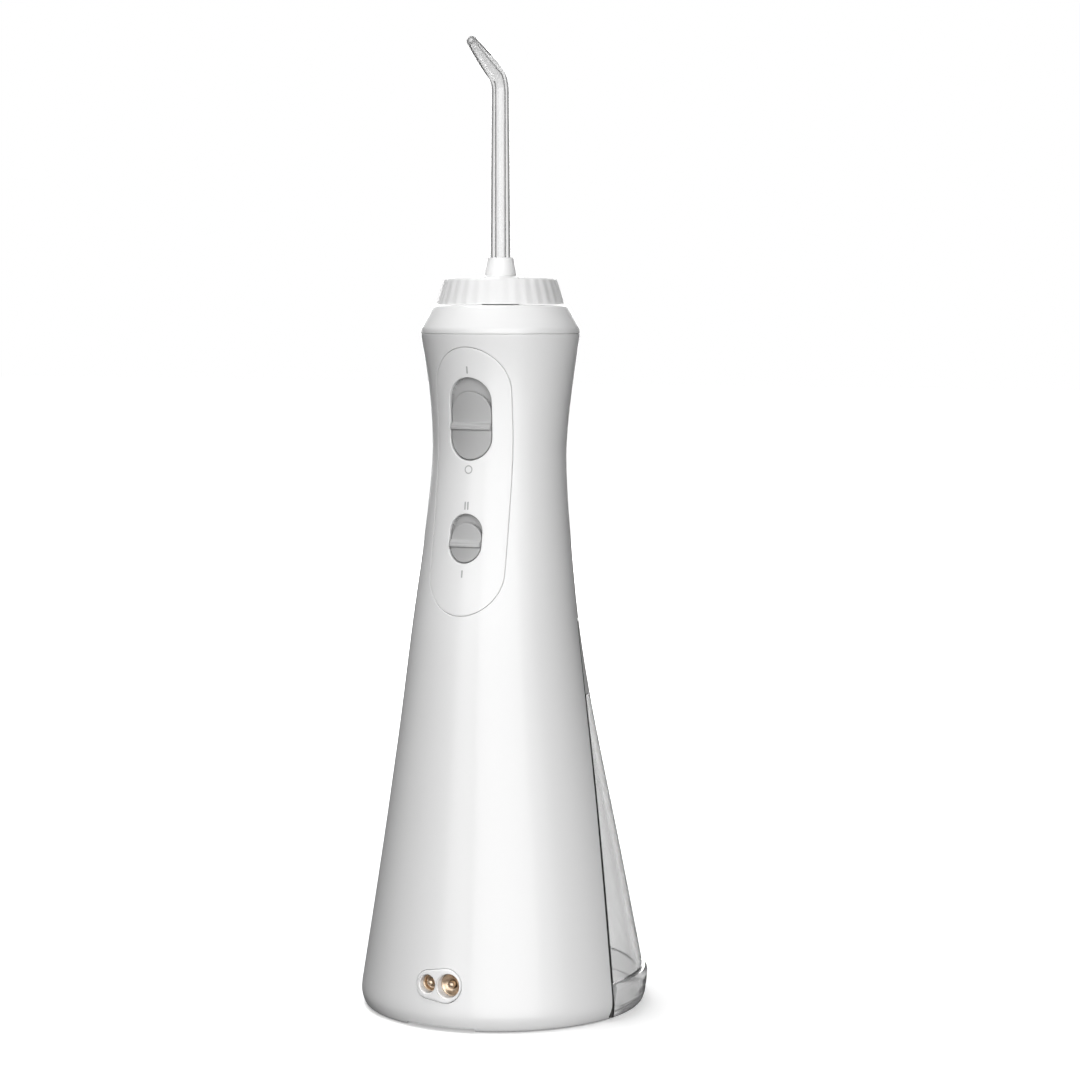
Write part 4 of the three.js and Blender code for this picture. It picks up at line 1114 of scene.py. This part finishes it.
def stage():
    """A white floor that glows: painted light, weaker near the object so that the lamps' soft shadows show,
    and rising to plain white away from it.
    """
    half = FLOOR["size"] / 2
    mesh = bpy.data.meshes.new("floor")
    corners = [(-half, -half, 0), (half, -half, 0), (half, half, 0), (-half, half, 0)]
    mesh.from_pydata(corners, [], [(0, 1, 2, 3)])
    floor = bpy.data.objects.new("floor", mesh)
    bpy.context.scene.collection.objects.link(floor)
    surface = Surface("floor")
    surface.colours(surface.noise(3, 2), grey(0.94), grey(0.96))
    surface.rough(surface.ramp(surface.noise(20, 2), 0.8, 0.9))
    surface.set(emission_color=(1, 1, 1, 1), specular_ior_level=0.0)
    reach = surface.nodes.new("ShaderNodeVectorMath")
    reach.operation = "LENGTH"
    surface.links.new(surface.place, reach.inputs[0])
    # The floor's glow is painted light: its strength grows with the distance from the object.
    glow = surface.ramp(
        reach.outputs["Value"], FLOOR["glow_near"], FLOOR["white"], FLOOR["near"], FLOOR["far"]
    )
    surface.links.new(glow, surface.shader.inputs["Emission Strength"])
    mesh.materials.append(surface.material)
    floor.visible_diffuse = False
    floor.visible_glossy = False
    floor.visible_transmission = False


ROOM = 0.05  # the room's own soft light
BACKDROP = ((0.0, 1.0), (0.56, 1.0), (0.66, 0.24), (0.9, 0.24), (1.0, 0.34))  # (sideways share, brightness)


def world():
    """White to the camera, a backdrop with dim sides through clear plastic, and a dim room to the rest."""
    made = bpy.data.worlds.new("studio")
    made.use_nodes = True
    nodes, links = made.node_tree.nodes, made.node_tree.links
    nodes.clear()
    place = nodes.new("ShaderNodeTexCoord")
    sideways = nodes.new("ShaderNodeVectorMath")
    sideways.operation = "DOT_PRODUCT"
    sideways.inputs[1].default_value = (math.cos(AZIMUTH), math.sin(AZIMUTH), 0)
    links.new(place.outputs["Generated"], sideways.inputs[0])
    share = nodes.new("ShaderNodeMath")
    share.operation = "ABSOLUTE"
    links.new(sideways.outputs["Value"], share.inputs[0])
    backdrop = nodes.new("ShaderNodeValToRGB")
    stops(backdrop.color_ramp, BACKDROP)
    links.new(share.outputs["Value"], backdrop.inputs["Fac"])
    path = nodes.new("ShaderNodeLightPath")

    def light(brightness):
        node = nodes.new("ShaderNodeBackground")
        node.inputs["Color"].default_value = (*grey(brightness), 1)
        return node

    def choose(ray, otherwise, then):
        node = nodes.new("ShaderNodeMixShader")
        links.new(path.outputs[ray], node.inputs["Fac"])
        links.new(otherwise, node.inputs[1])
        links.new(then, node.inputs[2])
        return node.outputs[0]

    behind = light(1.0)
    links.new(backdrop.outputs["Color"], behind.inputs["Color"])
    seen = choose("Is Transmission Ray", light(ROOM).outputs[0], behind.outputs[0])
    output = nodes.new("ShaderNodeOutputWorld")
    links.new(choose("Is Camera Ray", seen, light(1.0).outputs[0]), output.inputs["Surface"])
    bpy.context.scene.world = made


def area_light(name, azimuth, elevation, distance, size, power, target=(0, 0, 0.13)):
    data = bpy.data.lights.new(name, "AREA")
    data.shape = "RECTANGLE"
    data.size, data.size_y = size
    data.energy = power
    light = bpy.data.objects.new(name, data)
    away = Vector((math.sin(azimuth) * math.cos(elevation), -math.cos(azimuth) * math.cos(elevation),
                   math.sin(elevation)))
    light.location = Vector(target) + away * distance
    light.rotation_mode = "QUATERNION"
    light.rotation_quaternion = (-away).to_track_quat("-Z", "Y")
    light.visible_transmission = False
    bpy.context.scene.collection.objects.link(light)


def camera():
    data = bpy.data.cameras.new("camera")
    data.lens = LENS
    data.sensor_width = 36.0
    eye = bpy.data.objects.new("camera", data)
    reach = CAMERA["distance"]
    eye.location = (reach * math.sin(AZIMUTH), NECK["y"] * MM - reach * math.cos(AZIMUTH), CAMERA["height"])
    heading = AZIMUTH - CAMERA["aim_right"]
    forward = Vector((-math.sin(heading), math.cos(heading), -math.tan(CAMERA["aim_down"])))
    eye.rotation_mode = "QUATERNION"
    eye.rotation_quaternion = forward.to_track_quat("-Z", "Y")
    bpy.context.scene.collection.objects.link(eye)
    bpy.context.scene.camera = eye


stage()
world()
area_light("key", AZIMUTH + math.radians(4), math.radians(9), 1.5, (1.6, 1.4), 23)
area_light("left_fill", AZIMUTH - math.radians(40), math.radians(10), 1.5, (0.6, 1.2), 4.8)
area_light("right_fill", AZIMUTH + math.radians(40), math.radians(10), 1.5, (0.6, 1.2), 3.0)
area_light("back", AZIMUTH + math.radians(180), math.radians(20), 1.6, (1.4, 1.2), 24)
area_light("top", AZIMUTH - math.radians(95), math.radians(75), 1.3, (0.5, 0.5), 9.5)
camera()
bpy.context.scene.view_settings.view_transform = "Standard"
